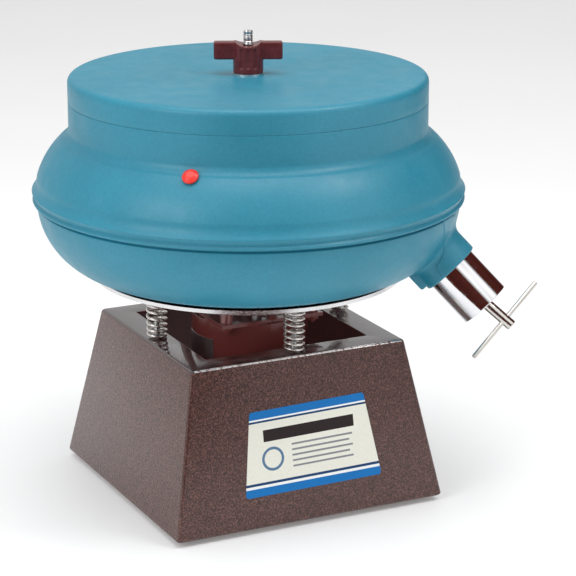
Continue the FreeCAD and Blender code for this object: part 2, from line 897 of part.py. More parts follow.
bearing_bore = s.shaft_radius + s.shaft_fit
plate_bottom = s.can_top
plate_top = s.can_top + s.bell_thickness
lower_bell_bottom = s.can_bottom - s.bell_thickness
through_bolt_places = [around(s.through_bolt_circle, angle) for angle in QUARTERS]
stack_height = s.stack_top - s.stack_bottom


def drilled(name, base, radius, places, bottom, height):
    """The base with a hole at each place."""
    holes = [
        rod(f"{name}_hole_{number}", radius, height, place * lift(z=bottom))
        for number, place in enumerate(places, start=1)
    ]
    return cut(name, base, *holes)


def bearing_pocket(name, thickness_start, hub_end_height):
    """An end bell's bearing housing: a short cup with a lip that the shaft passes through."""
    low, high = sorted((thickness_start, hub_end_height), key=lambda size: size.value)
    return ring(name, s.bearing_radius, s.bearing_radius + 3, low, high - low)


def motor_top_plate():
    """The upper end bell is a square plate, so that its corners take the bolts from the pan."""
    side = s.motor_plate_half * 2
    square = block("top_plate", side, side, s.bell_thickness, lift(z=plate_bottom))
    opening = rod("top_plate_opening", s.bearing_radius, s.bell_thickness, lift(z=plate_bottom))
    cup = bearing_pocket("top_cup", plate_bottom, plate_top - s.bearing_width - 1)
    blank = joined("top_plate_blank", cut("top_plate_ring", square, opening), cup)
    bolt_hole = s.through_bolt_radius + fastener_clearance
    screw_hole = s.small_screw_radius + fastener_clearance
    once = drilled("top_plate_once", blank, bolt_hole, through_bolt_places, plate_bottom - 1, 6)
    return drilled("motor_top_plate", once, screw_hole, standoff_places, plate_bottom - 1, 6)


def motor_bottom_bell():
    disc = ring("bottom_disc", s.bearing_radius, s.can_radius, lower_bell_bottom, s.bell_thickness)
    cup = bearing_pocket("bottom_cup", s.can_bottom, s.can_bottom + s.bearing_width - 2)
    blank = joined("bottom_bell_blank", disc, cup)
    hole = s.through_bolt_radius + fastener_clearance
    return drilled("motor_bottom_bell", blank, hole, through_bolt_places, lower_bell_bottom - 1, 6)


def stator():
    """The laminated ring, notched through for the motor's long bolts."""
    outer = s.can_radius - s.can_wall - s.seat_clearance
    core = ring("stator_ring", s.rotor_radius + s.air_gap, outer, s.stack_bottom, stack_height)
    hole = s.through_bolt_radius + fastener_clearance
    return drilled("stator", core, hole, through_bolt_places, s.stack_bottom - 1, stack_height + 2)


def windings():
    """The coils' end turns, above and below the laminations."""
    inner = s.rotor_radius + 2.5
    depth = 9
    above = turned("upper_winding", rounded_ring(inner, 40, s.stack_top, depth))
    below = turned("lower_winding", rounded_ring(inner, 40, s.stack_bottom - depth, depth))
    return group("windings", [above, below])


def rounded_ring(inner, outer, bottom, height):
    """The outline of a ring with its four corners taken off."""
    corner = 2.5
    top = bottom + height
    return [
        (inner + corner, bottom),
        (outer - corner, bottom),
        (outer, bottom + corner),
        (outer, top - corner),
        (outer - corner, top),
        (inner + corner, top),
        (inner, top - corner),
        (inner, bottom + corner),
    ]


def motor_label():
    """A curved data plate of plain metal foil on the can."""
    shell = ring(
        "label_shell",
        s.can_radius,
        s.can_radius + s.label_thickness,
        s.foil_bottom,
        s.foil_height,
    )
    window_place = around(s.can_radius, s.foil_angle, s.foil_bottom - 11)
    window = block("label_window", 60, s.foil_width, 40, window_place)
    common = doc.addObject("Part::Common", "motor_label")
    common.Base = shell
    common.Tool = window
    return common


def through_bolt(name, place):
    """A long bolt that clamps both end bells to the can."""
    head = 2.8
    length = plate_top - lower_bell_bottom + 4
    under = place * lift(z=lower_bell_bottom)
    return screw_with_head(name, under, s.through_bolt_radius, length, 3.9, head)


def through_bolt_nut(name, place):
    return nut(name, place * lift(z=plate_top), s.through_bolt_radius + thread_clearance, 3.9, 2.6)


def standoff(name, place):
    bore = s.small_screw_radius + fastener_clearance
    return ring(name, bore, s.standoff_radius, plate_top, s.pan_bottom - plate_top, place)


def motor_screw(name, place):
    """Hangs the motor: from the pan's top, through a standoff, to a nut under the motor's plate."""
    head = 2.5
    length = pan_top - plate_bottom + 6
    shank = rod(f"{name}_shank", s.small_screw_radius, length, place * lift(z=plate_bottom - 6))
    cap = rod(f"{name}_head", 4.8, head, place * lift(z=pan_top))
    return joined(name, shank, cap)


def motor_screw_nut(name, place):
    under = place * lift(z=plate_bottom - s.small_nut_height)
    return nut(name, under, s.small_screw_radius + thread_clearance, s.small_nut_radius, s.small_nut_height)


def eccentric(name, radius, bottom):
    """A half disc with a round hub about the shaft: what shakes the machine when the shaft turns."""
    disc = rod(f"{name}_sector", radius, s.weight_thickness, lift(z=bottom))
    disc.Angle = 180
    hub = rod(f"{name}_hub", s.weight_hub_radius, s.weight_thickness, lift(z=bottom))
    bore = rod(f"{name}_bore", bearing_bore, s.weight_thickness, lift(z=bottom))
    screw_bore_place = lift(z=bottom + s.weight_thickness / 2) * Placement(
        Vector(), Rotation(Vector(1, 0, 0), 90)
    )
    screw_hole = rod(f"{name}_screw_bore", s.set_screw_radius, 12, screw_bore_place)
    return cut(name, joined(f"{name}_blank", disc, hub), bore, screw_hole)


def set_screw(name, bottom):
    """Clamps an eccentric to the shaft from the light side of its hub."""
    length = s.weight_hub_radius - bearing_bore - 0.4
    place = lift(y=-bearing_bore - 0.2, z=bottom + s.weight_thickness / 2)
    across = place * Placement(Vector(), Rotation(Vector(1, 0, 0), 90))
    return rod(name, s.set_screw_radius - 0.02, length, across)


subpart(
    ring("can", s.can_radius - s.can_wall, s.can_radius, s.can_bottom, s.can_top - s.can_bottom),
    "motor_can",
)
subpart(motor_top_plate(), "motor_top_plate")
subpart(motor_bottom_bell(), "motor_bottom_bell")
subpart(motor_label(), "motor_label")
subpart(stator(), "stator")
subpart(windings(), "stator_windings")
subpart(repeated("motor_bolts", through_bolt_places, through_bolt), "motor_through_bolts")
subpart(repeated("motor_bolt_nuts", through_bolt_places, through_bolt_nut), "motor_through_bolt_nuts")
subpart(repeated("standoffs", standoff_places, standoff), "motor_standoffs")
subpart(repeated("hanging_screws", standoff_places, motor_screw), "motor_screws")
subpart(repeated("hanging_nuts", standoff_places, motor_screw_nut), "motor_screw_nuts")
top_bearing_bottom = plate_top - s.bearing_width - 0.5
subpart(
    ring("top_bearing", bearing_bore, s.bearing_radius - 0.02, top_bearing_bottom, s.bearing_width),
    "upper_bearing",
)
subpart(
    ring("bottom_bearing", bearing_bore, s.bearing_radius - 0.02, lower_bell_bottom + 0.5, s.bearing_width),
    "lower_bearing",
)
subpart(
    ring("rotor_stack", s.shaft_radius, s.rotor_radius, s.stack_bottom - 3, stack_height + 6),
    "rotor_core",
)
subpart(rod("shaft", s.shaft_radius, s.shaft_top - s.shaft_bottom, lift(z=s.shaft_bottom)), "motor_shaft")
subpart(eccentric("top_eccentric", s.upper_weight_radius, s.upper_weight_bottom), "upper_weight")
subpart(set_screw("top_grub", s.upper_weight_bottom), "upper_set_screw")
subpart(eccentric("bottom_eccentric", s.lower_weight_radius, s.lower_weight_bottom), "lower_weight")
subpart(set_screw("bottom_grub", s.lower_weight_bottom), "lower_set_screw")

# ---------------------------------------------------------------------------
# Checks and files
# ---------------------------------------------------------------------------

doc.recompute()
faulty = [item.Name for item in doc.Objects if {"Invalid", "Error"} & set(item.State)]
faulty += [item.Label for item in subparts if item.Shape.isNull() or not item.Shape.isValid()]
if faulty:
    raise SystemExit(f"these objects did not recompute: {faulty}")

os.makedirs("parts", exist_ok=True)
for item in subparts:
    item.Shape.exportStep(f"parts/{item.Label}.step")
    print(f"{item.Label}: {len(item.Shape.Solids)} solids, {item.Shape.Volume / 1000:.2f} cm3")
print(f"{len(subparts)} sub-parts written")
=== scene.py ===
# %% [markdown]
# # A vibratory rock tumbler, finished in Blender
#
# The machine is a ring-shaped plastic bowl with a lid. A motor hangs under it and turns two lopsided
# weights, and everything rides on four coil springs over a painted steel base, so the stones rub each other
# smooth. The measured model comes in first as a fixed frame. It could simply be painted, but flat facets and
# knife edges give a model away, so every piece that shows a moulded blend, a rolled bend, a thread or a coil
# is built again here at the same size, and the hidden works keep their mesh and get a proper finish.

import json
import math

import bmesh
import bpy
import numpy as np
from mathutils import Matrix, Vector


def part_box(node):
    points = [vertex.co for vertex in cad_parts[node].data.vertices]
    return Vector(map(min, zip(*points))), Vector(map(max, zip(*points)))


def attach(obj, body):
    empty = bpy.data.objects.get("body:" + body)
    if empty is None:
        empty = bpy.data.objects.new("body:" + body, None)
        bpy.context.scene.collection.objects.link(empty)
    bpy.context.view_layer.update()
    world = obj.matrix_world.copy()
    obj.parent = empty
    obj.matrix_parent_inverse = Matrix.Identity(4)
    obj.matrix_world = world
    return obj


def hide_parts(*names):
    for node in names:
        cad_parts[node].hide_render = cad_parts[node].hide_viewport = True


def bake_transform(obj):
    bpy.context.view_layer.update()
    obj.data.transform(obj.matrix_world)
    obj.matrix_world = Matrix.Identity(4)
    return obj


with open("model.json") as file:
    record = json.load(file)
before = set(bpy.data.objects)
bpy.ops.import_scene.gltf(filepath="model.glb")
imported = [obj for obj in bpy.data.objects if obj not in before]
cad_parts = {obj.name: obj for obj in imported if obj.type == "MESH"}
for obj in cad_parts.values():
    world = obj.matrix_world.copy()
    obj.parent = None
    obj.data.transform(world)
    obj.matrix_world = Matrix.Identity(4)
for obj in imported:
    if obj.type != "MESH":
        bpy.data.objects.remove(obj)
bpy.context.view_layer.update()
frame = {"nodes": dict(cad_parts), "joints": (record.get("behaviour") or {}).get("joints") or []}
MM = 0.001


# %% [markdown]
# ## Places that the frame gives
#
# A size typed twice is a size that can disagree, so heights and radii are read from the boxes of the nodes
# and the slanted directions from the joints. The spout has a frame of its own: its third column points out
# of the tube, its second lies level, and its first points to the tube's underside. The expanding plug sits a
# few degrees askew in the tube, so it has another.

# %% Read sizes and directions
def low_of(node):
    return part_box(node)[0] / MM


def high_of(node):
    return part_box(node)[1] / MM


def leaning_frame(point, axis):
    """A frame in millimetres at a point, its own Z along the axis and its own Y level."""
    out = Vector(axis).normalized()
    level = Vector((-out.y, out.x, 0)).normalized()
    under = level.cross(out)
    columns = Matrix((under, level, out)).transposed().to_4x4()
    return Matrix.Translation(point) @ columns


joints = {joint["name"]: joint for joint in frame["joints"]}
seam = high_of("bowl").z
bowl_foot = low_of("bowl").z
bowl_radius = high_of("bowl").x
neck_radius = high_of("lid").x
lid_top = high_of("lid").z
base_top = high_of("base_housing").z
base_foot = low_of("base_housing").z
base_half = high_of("base_housing").x
pan_bottom = low_of("support_pan").z
knob_bottom = low_of("wing_knob").z
knob_top = high_of("wing_knob").z

TUBE_SEAT = 18
TUBE_SHOW = 36.2
tube_middle = (low_of("discharge_tube") + high_of("discharge_tube")) / 2
spout_axis = Vector(joints["plug_pull"]["axis"]).normalized()
spout = leaning_frame(tube_middle - spout_axis * (TUBE_SHOW - TUBE_SEAT) / 2, spout_axis)
PLUG_PIVOT = 25
plug = leaning_frame(spout @ Vector((0, 0, PLUG_PIVOT)), joints["t_handle_turn"]["axis"])
plug = plug @ Matrix.Translation((0, 0, -PLUG_PIVOT))
print("spout root:", [round(number, 1) for number in spout.translation], "mm")


# %% [markdown]
# ## Outlines for turned pieces
#
# Most of the machine is turned or could be: bowl, lid, washers, tube, knob bush. Each gets an outline of
# radius and height. Blender's Screw modifier can spin a drawn outline, but a few lines of arithmetic keep
# the sizes named and let one outline hold arcs. Two ways of rounding are used. A moulded piece is softened
# all over, as shrinking plastic is, by averaging along the outline. A metal piece has fillets at its corners.

# %% Outline helpers
def edge_points(start, end, radius, step):
    """Points from start up to end: in line where there is no radius, or on an arc that turns left."""
    start, end = np.array(start, float), np.array(end, float)
    chord = end - start
    length = float(np.hypot(*chord))
    share = np.linspace(0, 1, max(2, math.ceil(length / step) + 1))[:-1]
    if not radius:
        return start + np.outer(share, chord)
    left = np.array((-chord[1], chord[0])) / length
    height = math.sqrt(radius * radius - length * length / 4)
    centre = (start + end) / 2 + left * math.copysign(height, radius)
    first = math.atan2(start[1] - centre[1], start[0] - centre[0])
    sweep = 2 * math.asin(length / 2 / abs(radius)) * math.copysign(1, radius)
    angles = first + share * sweep
    return centre + abs(radius) * np.stack((np.cos(angles), np.sin(angles)), 1)


def thinned(points, tolerance=0.02, longest=4.0):
    """Drops points that the outline doesn't need, so flat stretches stay light."""
    kept = [0]
    last = len(points) - 1
    while kept[-1] < last:
        start = kept[-1]
        stop = start + 1
        while stop < last:
            chord = points[stop + 1] - points[start]
            length = np.hypot(*chord)
            between = points[start + 1:stop + 1] - points[start]
            off = np.abs(chord[0] * between[:, 1] - chord[1] * between[:, 0]) / max(length, 1e-9)
            if length > longest or off.max() > tolerance:
                break
            stop += 1
        kept.append(stop)
    return points[kept]


def moulded_outline(corners, soften, loop=True, tolerance=0.02):
    """An outline of (radius, height[, edge radius]) corners, softened along its length by so many mm."""
    step = 0.25
    count = len(corners) if loop else len(corners) - 1
    runs = []
    for index in range(count):
        corner = corners[index]
        following = corners[(index + 1) % len(corners)]
        runs.append(edge_points(corner[:2], following[:2], corner[2] if len(corner) > 2 else 0, step))
    points = np.concatenate(runs if loop else [*runs, [corners[-1][:2]]])
    reach = max(1, round(3 * soften / step))
    weights = np.exp(-0.5 * (np.arange(-reach, reach + 1) * step / soften) ** 2)
    weights /= weights.sum()
    if loop:
        padded = np.concatenate((points[-reach:], points, points[:reach]))
    else:
        before = 2 * points[0] - points[reach:0:-1]
        after = 2 * points[-1] - points[-2:-reach - 2:-1]
        padded = np.concatenate((before, points, after))
    soft = np.stack([np.convolve(padded[:, side], weights, "valid") for side in (0, 1)], 1)
    if loop:
        soft = np.concatenate((soft, soft[:1]))
    thin = thinned(soft, tolerance)
    return thin[:-1] if loop else thin


def filleted_outline(corners, loop=True, segments=5):
    """An outline of (x, y, fillet radius) corners."""
    points = []
    for index, (x, y, radius) in enumerate(corners):
        here = np.array((x, y), float)
        if radius <= 0 or (not loop and index in (0, len(corners) - 1)):
            points.append(here)
            continue
        before = np.array(corners[index - 1][:2]) - here
        after = np.array(corners[(index + 1) % len(corners)][:2]) - here
        before /= np.hypot(*before)
        after /= np.hypot(*after)
        half = math.acos(max(-1, min(1, float(before @ after)))) / 2
        middle = (before + after) / np.hypot(*(before + after))
        centre = here + middle * radius / math.sin(half)
        start, end = (here + side * radius / math.tan(half) - centre for side in (before, after))
        first = math.atan2(start[1], start[0])
        turn = (math.atan2(end[1], end[0]) - first + math.pi) % (2 * math.pi) - math.pi
        for share in np.linspace(0, 1, segments + 1):
            angle = first + turn * share
            points.append(centre + radius * np.array((math.cos(angle), math.sin(angle))))
    return np.array(points)


# %% [markdown]
# ## From outlines to meshes
#
# One function turns an outline into a ring of quads, and another runs it round a square for the folded
# base. Each mesh is written in metres with its place in its vertices, so every object stays at the origin,
# unturned, and a pattern on object coordinates sits still. Smooth shading is broken only where two faces
# meet at more than a set angle.

# %% Mesh helpers
def shade(mesh, sharp_angle):
    mesh.shade_smooth()
    mesh.set_sharp_from_angle(angle=math.radians(sharp_angle))


def link(name, mesh, *materials):
    for material in materials:
        mesh.materials.append(material)
    piece = bpy.data.objects.new(name, mesh)
    bpy.context.scene.collection.objects.link(piece)
    return piece


def shell_mesh(name, shell, place=Matrix()):
    """A shell being edited, as a mesh in its place. The shell is freed."""
    mesh = bpy.data.meshes.new(name)
    shell.to_mesh(mesh)
    shell.free()
    mesh.transform(place)
    return mesh


def around(radius, angle, height=0):
    return Vector((radius * math.cos(angle), radius * math.sin(angle), height))


def make_mesh(name, vertices, faces, place=None, sharp_angle=35):
    """A closed mesh from millimetre vertices in a frame, with its faces turned outwards."""
    mesh = bpy.data.meshes.new(name)
    mesh.from_pydata(np.asarray(vertices, float).tolist(), [], faces)
    if place is not None:
        mesh.transform(place)
    mesh.transform(Matrix.Scale(MM, 4))
    shell = bmesh.new()
    shell.from_mesh(mesh)
    bmesh.ops.remove_doubles(shell, verts=shell.verts, dist=1e-6)
    bmesh.ops.recalc_face_normals(shell, faces=shell.faces)
    shell.to_mesh(mesh)
    shell.free()
    shade(mesh, sharp_angle)
    return mesh


def grid_faces(rows, columns, wrap_rows):
    """Quads between neighbouring rows of points, each row being a closed loop."""
    faces = []
    for row in range(rows if wrap_rows else rows - 1):
        lower = row * columns
        upper = (row + 1) % rows * columns
        for column in range(columns):
            following = (column + 1) % columns
            faces.append((lower + column, lower + following, upper + following, upper + column))
    return faces


def turned_mesh(name, outline, steps=96, loop=True, place=None, sharp_angle=35):
    """The outline spun about Z. An open outline starts and ends on the axis."""
    angles = np.linspace(0, 2 * math.pi, steps, endpoint=False)
    ring = np.stack((np.cos(angles), np.sin(angles)), 1)
    rows = [np.column_stack((ring * radius, np.full(steps, height))) for radius, height in outline]
    return make_mesh(name, np.concatenate(rows), grid_faces(len(rows), steps, loop), place, sharp_angle)


def squared_mesh(name, outline, corner_radii, segments=6, sharp_angle=35):
    """The outline of (half width, height) run round a square whose corners are rounded."""
    rows = []
    for (half, height), radius in zip(outline, corner_radii):
        row = []
        for quarter in range(4):
            corner = around(math.sqrt(2) * (half - radius), math.pi / 2 * (quarter + 0.5), height)
            for share in np.linspace(0, 1, segments + 1):
                row.append(corner + around(radius, math.pi / 2 * (quarter + share)))
        rows.append(row)
    columns = 4 * (segments + 1)
    return make_mesh(name, np.concatenate(rows), grid_faces(len(rows), columns, True), None, sharp_angle)


def joined_mesh(name, *meshes):
    """Several meshes as one, each staying its own closed shell."""
    shell = bmesh.new()
    for mesh in meshes:
        shell.from_mesh(mesh)
    return shell_mesh(name, shell)


def evaluated_copy(thing, name):
    """What an object's modifiers make, as a plain mesh. The object itself is taken away."""
    bpy.context.view_layer.update()
    graph = bpy.context.evaluated_depsgraph_get()
    mesh = bpy.data.meshes.new_from_object(thing.evaluated_get(graph), depsgraph=graph)
    bpy.data.objects.remove(thing)
    mesh.name = name
    return mesh


def combined(name, mesh, operation, *tools):
    """The mesh with other closed meshes taken away from it or added to it."""
    body = link(name, mesh)
    helpers = []
    for tool in tools:
        helper = link(f"{name}_{operation.lower()}", tool)
        helpers.append(helper)
        change = body.modifiers.new("combine", "BOOLEAN")
        change.operation = operation
        change.solver = "EXACT"
        change.object = helper
    result = evaluated_copy(body, name)
    for helper in helpers:
        bpy.data.objects.remove(helper)
    return result


rebuilt = set()


def finished(piece, body, material_slot, *nodes):
    """What every finished piece says: the body it rides on, and the nodes that it stands for."""
    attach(piece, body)
    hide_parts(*nodes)
    rebuilt.update(nodes)
    print(f"{piece.name}: {len(piece.data.polygons)} faces, rides on {body}")
    return piece


# %% [markdown]
# ## Camera, floor and light
#
# The machine is seen from a little above and from its left, from nearly two metres away with a long lens,
# so upright lines stay nearly parallel. A pale floor and an even white surround stand for a light tent: it
# is what gives glossy paint its broad grey sheen. A big lamp overhead makes tops brighter than sides, one
# from the upper left adds shape, and a small one adds to the bright line along the front bend of the base,
# a line that is also painted into the bend's colour as a painted highlight.
# Polished metal shows whatever stands round it, so cards that only reflections see are set up beside the
# tube, for the dark and white stripes on it. None of this is part of the object.

# %% Camera and light
scene = bpy.context.scene
scene.view_settings.view_transform = "Standard"
CAMERA_PLACE = Vector((-0.7672, -1.6301, 0.6950))
CAMERA_AIM = Vector((0.0296, -0.0117, 0.1644))

lens = bpy.data.cameras.new("camera")
lens.lens = 143
lens.sensor_width = 36
camera = bpy.data.objects.new("camera", lens)
scene.collection.objects.link(camera)
camera.location = CAMERA_PLACE
camera.rotation_euler = (CAMERA_AIM - CAMERA_PLACE).to_track_quat("-Z", "Y").to_euler()
scene.camera = camera

world = bpy.data.worlds.new("light_tent")
scene.world = world
world.use_nodes = True
surround = world.node_tree.nodes["Background"]
surround.inputs["Color"].default_value = (1, 1, 1, 1)
surround.inputs["Strength"].default_value = 0.6


def soft_lamp(name, place, aim, size, power):
    lamp = bpy.data.lights.new(name, "AREA")
    lamp.size = size
    lamp.energy = power
    holder = bpy.data.objects.new(name, lamp)
    scene.collection.objects.link(holder)
    holder.location = place
    holder.rotation_euler = (Vector(aim) - Vector(place)).to_track_quat("-Z", "Y").to_euler()
    return holder


soft_lamp("lamp_overhead", (-0.2, -0.1, 2.3), (0, 0, 0.3), 1.6, 23)
soft_lamp("lamp_upper_left", (-1.8, -0.6, 1.3), (0, 0, 0.25), 1.0, 12)
soft_lamp("lamp_bend", (0.84, -0.78, 1.8), (0, -0.05, 0.13), 0.5, 9)
print("camera", round((CAMERA_AIM - CAMERA_PLACE).length, 2), "m from its aim")


# %% [markdown]
# ## Building finishes
#
# Every finish is a small tree of nodes on object coordinates, so a grain has its real size in metres and
# stays put on the piece. The same few moves come back each time: a noise, a ramp that picks colours from
# it, and a bump that lifts the surface by it. A class keeps those moves short. Values that are the same all
# over go straight onto the shader.

# %% Node and finish helpers
ODD_LABELS = {"coat": "Coat Weight", "coat_ior": "Coat IOR", "specular": "Specular IOR Level"}


def feed(tree, socket, value):
    """Gives a socket another node's output, a colour, or a plain value."""
    if isinstance(value, bpy.types.NodeSocket):
        tree.links.new(value, socket)
    elif socket.type == "RGBA":
        socket.default_value = (*value, 1)
    else:
        socket.default_value = value


def socket_label(label):
    return ODD_LABELS.get(label, label.replace("_", " ").title())


def node(tree, kind, settings=None, **values):
    """A node with its settings made and its inputs fed by label, or by position as _0, _1 and so on."""
    made = tree.nodes.new(kind)
    for key, value in (settings or {}).items():
        setattr(made, key, value)
    for label, value in values.items():
        position = int(label[1:]) if label[0] == "_" else socket_label(label)
        feed(tree, made.inputs[position], value)
    return made


class Finish:
    """A material being made: its tree, its shader, its coordinates, and the values that are uniform."""

    def __init__(self, name, **uniform):
        self.material = bpy.data.materials.new(name)
        self.material.use_nodes = True
        self.tree = self.material.node_tree
        self.shader = self.tree.nodes["Principled BSDF"]
        self.place = node(self.tree, "ShaderNodeTexCoord").outputs["Object"]
        self.wear(**uniform)

    def wear(self, **values):
        for label, value in values.items():
            feed(self.tree, self.shader.inputs[socket_label(label)], value)

    def stretched(self, scale):
        return node(self.tree, "ShaderNodeMapping", vector=self.place, scale=scale).outputs["Vector"]

    def noise(self, scale, detail=2.0, rough=0.5, place=None):
        values = {"vector": place or self.place, "scale": scale, "detail": detail, "roughness": rough}
        return node(self.tree, "ShaderNodeTexNoise", **values).outputs["Fac"]

    def cells(self, scale):
        smooth = {"feature": "SMOOTH_F1"}
        made = node(self.tree, "ShaderNodeTexVoronoi", smooth, vector=self.place, scale=scale)
        return made.outputs["Distance"]

    def ramp(self, value, *stops, sharp=False):
        """A colour ramp. Each stop is (position, colour); a bare number is a grey."""
        made = node(self.tree, "ShaderNodeValToRGB", fac=value)
        bar = made.color_ramp
        bar.interpolation = "CONSTANT" if sharp else "LINEAR"
        while len(bar.elements) < len(stops):
            bar.elements.new(0.5)
        for element, (position, colour) in zip(bar.elements, stops):
            element.position = position
            element.color = (*((colour,) * 3 if isinstance(colour, (int, float)) else colour), 1)
        return made.outputs["Color"]

    def mix(self, share, first, second, blend="MIX"):
        kind = {"data_type": "RGBA", "blend_type": blend}
        return node(self.tree, "ShaderNodeMix", kind, factor=share, a=first, b=second).outputs["Result"]

    def sum(self, operation, first, second=0.0):
        return sum_node(self.tree, operation, first, second)

    def bump(self, height, depth, strength=1.0, before=None):
        """Lifts the surface by a height from 0 to 1, times a depth in metres."""
        values = {"normal": before} if before else {}
        made = node(self.tree, "ShaderNodeBump", height=height, distance=depth, strength=strength, **values)
        return made.outputs["Normal"]

    def done(self, colour, roughness=None, normal=None):
        given = {"base_color": colour, "roughness": roughness, "normal": normal}
        self.wear(**{label: value for label, value in given.items() if value is not None})
        return self.material


def sum_node(tree, operation, first, second=0.0):
    """The output of one piece of arithmetic in a tree."""
    return node(tree, "ShaderNodeMath", {"operation": operation}, _0=first, _1=second).outputs[0]


# %% Cards for the polished tube
def glowing_card(name, centre, across, up, width, height, tone, strength):
    """A card seen by reflections alone: middle, two directions, two half sizes in metres, and glow."""
    finish = Finish(name, roughness=1.0, emission_strength=strength, specular=0)
    pale = tuple(channel * 1.4 for channel in tone)
    finish.wear(emission_color=finish.ramp(finish.noise(4), (0.35, tone), (0.65, pale)))
    square = ((-1, -1), (1, -1), (1, 1), (-1, 1))
    corners = [centre + across * width * x + up * height * y for x, y in square]
    mesh = bpy.data.meshes.new(name)
    mesh.from_pydata(corners, [], [(0, 1, 2, 3)])
    card = link(name, mesh, finish.done((0.0, 0.0, 0.0)))
    for sense in ("camera", "diffuse", "shadow", "transmission"):
        setattr(card, f"visible_{sense}", False)
    return card


tube_centre = spout @ Vector((0, 0, 16)) * MM
underside, sideways, along = (column.to_3d().normalized() for column in spout.col[:3])
card_distance = 0.45
MAROON_GLOW, WHITE_GLOW = (0.075, 0.017, 0.013), (0.72, 0.72, 0.72)
for name, angle, half_angle, tone, strength in (
    ("card_low", 4, 30, MAROON_GLOW, 0.85),
    ("card_white", 61, 20, WHITE_GLOW, 1.4),
    ("card_high", 127, 39, MAROON_GLOW, 0.85),
):
    turn = math.radians(angle)
    towards = -sideways * math.cos(turn) - underside * math.sin(turn)
    across_card = sideways * math.sin(turn) - underside * math.cos(turn)
    spread = card_distance * math.tan(math.radians(half_angle))
    middle = tube_centre + towards * card_distance
    glowing_card(name, middle, along, across_card, 0.22, spread, tone, strength)


# %% [markdown]
# ## Moulded blue plastic
#
# Bowl and lid are the same thick polymer, cast in a satin mould. On the real thing the colour is even but
# not flat: it drifts a little over a hand's width, there is a fine orange-peel in the gloss, and handling
# leaves faint pale rubs. A slow noise moves the colour, a fine one makes the peel, and one cut off high
# leaves a few rubs.

# %% Finish: blue moulding
def blue_moulding():
    finish = Finish("blue_moulding")
    drift = finish.noise(9, detail=3)
    colour = finish.ramp(drift, (0.3, (0.014, 0.205, 0.30)), (0.7, (0.022, 0.238, 0.345)))
    flecks = finish.ramp(finish.noise(420, detail=3), (0.3, 0.93), (0.7, 1.06))
    colour = finish.mix(1.0, colour, flecks, "MULTIPLY")
    rubs = finish.ramp(finish.noise(38, detail=6, rough=0.7), (0.62, 0), (0.8, 0.2))
    colour = finish.mix(rubs, colour, (0.10, 0.36, 0.46))
    roughness = finish.ramp(finish.noise(60, detail=4), (0.3, 0.36), (0.75, 0.5))
    peel = finish.bump(finish.noise(900, detail=2), 0.00012, 0.35)
    waves = finish.bump(finish.noise(30, detail=1), 0.0006, 0.25, peel)
    return finish.done(colour, roughness, waves)


BLUE = blue_moulding()


# %% [markdown]
# ## Hammered paint
#
# The base is sprayed with a paint that draws itself into millimetre beads: dark maroon between, and a
# lighter rosy grey where the metal flake gathers. Smooth cells make the dimples and a noise of the same
# size picks the fleck, so both fall together. The flange on top and the walls inside carry the same paint
# laid on wet and smooth, so they reflect like glass. On the inside walls that paint's colour is made about
# four times brighter, as painted light standing in for the light that hardly gets in under the bowl.

# %% Finish: maroon paint
MAROON = (0.052, 0.0195, 0.0175)


def hammered_paint():
    finish = Finish("hammered_paint", coat=0.3, coat_roughness=0.14)
    grain = finish.noise(820, detail=2.5, rough=0.6)
    drift = finish.noise(7, detail=2)
    flecks = finish.ramp(
        grain, (0.38, (0.026, 0.007, 0.006)), (0.5, (0.066, 0.020, 0.015)), (0.66, (0.20, 0.088, 0.070))
    )
    colour = finish.mix(finish.ramp(drift, (0.3, 0.0), (0.7, 0.22)), flecks, MAROON)
    dimples = finish.bump(finish.cells(640), 0.0004, 0.5)
    skin = finish.bump(grain, 0.0002, 0.5, dimples)
    roughness = finish.ramp(grain, (0.3, 0.42), (0.7, 0.26))
    return finish.done(colour, roughness, skin)


def smooth_paint(name, thin, thick, gloss):
    finish = Finish(name, roughness=0.3, coat=1.0, coat_roughness=0.03, coat_ior=gloss)
    colour = finish.ramp(finish.noise(14, detail=3), (0.3, thin), (0.7, thick))
    skin = finish.bump(finish.noise(160, detail=2), 0.00015, 0.3)
    return finish.done(colour, None, skin)


HAMMERED = hammered_paint()
SMOOTH_PAINT = smooth_paint("smooth_maroon_paint", (0.042, 0.013, 0.012), (0.064, 0.021, 0.019), 1.85)
# The inside copy is about four times brighter than the smooth paint: painted fill light for the dim inside.
INSIDE_PAINT_WITH_PAINTED_LIGHT = smooth_paint("inside_maroon_with_painted_light", (0.19, 0.040, 0.036), (0.24, 0.054, 0.048), 1.45)


# %% [markdown]
# ## The front bend's painted highlight
#
# Along the front bend of the base a bright broken line is painted into the colour: a pale, partly metallic
# finish that is a painted highlight. A noise along the bend breaks the line up.

# %% Finish: painted highlight on the front bend
def painted_bend_highlight():
    finish = Finish("painted_highlight_on_the_bend", roughness=0.24, coat=0.6, coat_roughness=0.06)
    broken = finish.noise(330, detail=3)
    # The pale, partly metallic colour is a painted highlight along the front bend.
    colour = finish.ramp(broken, (0.34, (0.20, 0.10, 0.09)), (0.5, (0.78, 0.72, 0.70)))
    finish.wear(metallic=finish.ramp(broken, (0.34, 0.3), (0.5, 0.9)))
    return finish.done(colour, None, finish.bump(finish.noise(700), 0.0001, 0.4))


BEND_PAINTED_HIGHLIGHT = painted_bend_highlight()


# %% [markdown]
# ## Metals
#
# Metal differs by how it was worked. Plated screws and wire are bright with a slight cloud, turned steel
# carries fine rings, chrome is a mirror with a few hairlines, and cast weights are dark and grainy. One
# function makes them all from a colour, a roughness and the size and depth of the marks.

# %% Finish: metals
def metal(name, colour, roughness, grain_scale, grain_depth, cloud=0.12, stretch=(1, 1, 1)):
    finish = Finish(name, metallic=1.0)
    dull = tuple(channel * (1 - cloud) for channel in colour)
    tone = finish.ramp(finish.noise(45, detail=4), (0.35, dull), (0.65, colour))
    grain = finish.noise(grain_scale, detail=3, place=finish.stretched(stretch))
    sheen = finish.ramp(grain, (0.3, max(roughness - 0.06, 0.02)), (0.7, roughness + 0.08))
    return finish.done(tone, sheen, finish.bump(grain, grain_depth, 0.4))


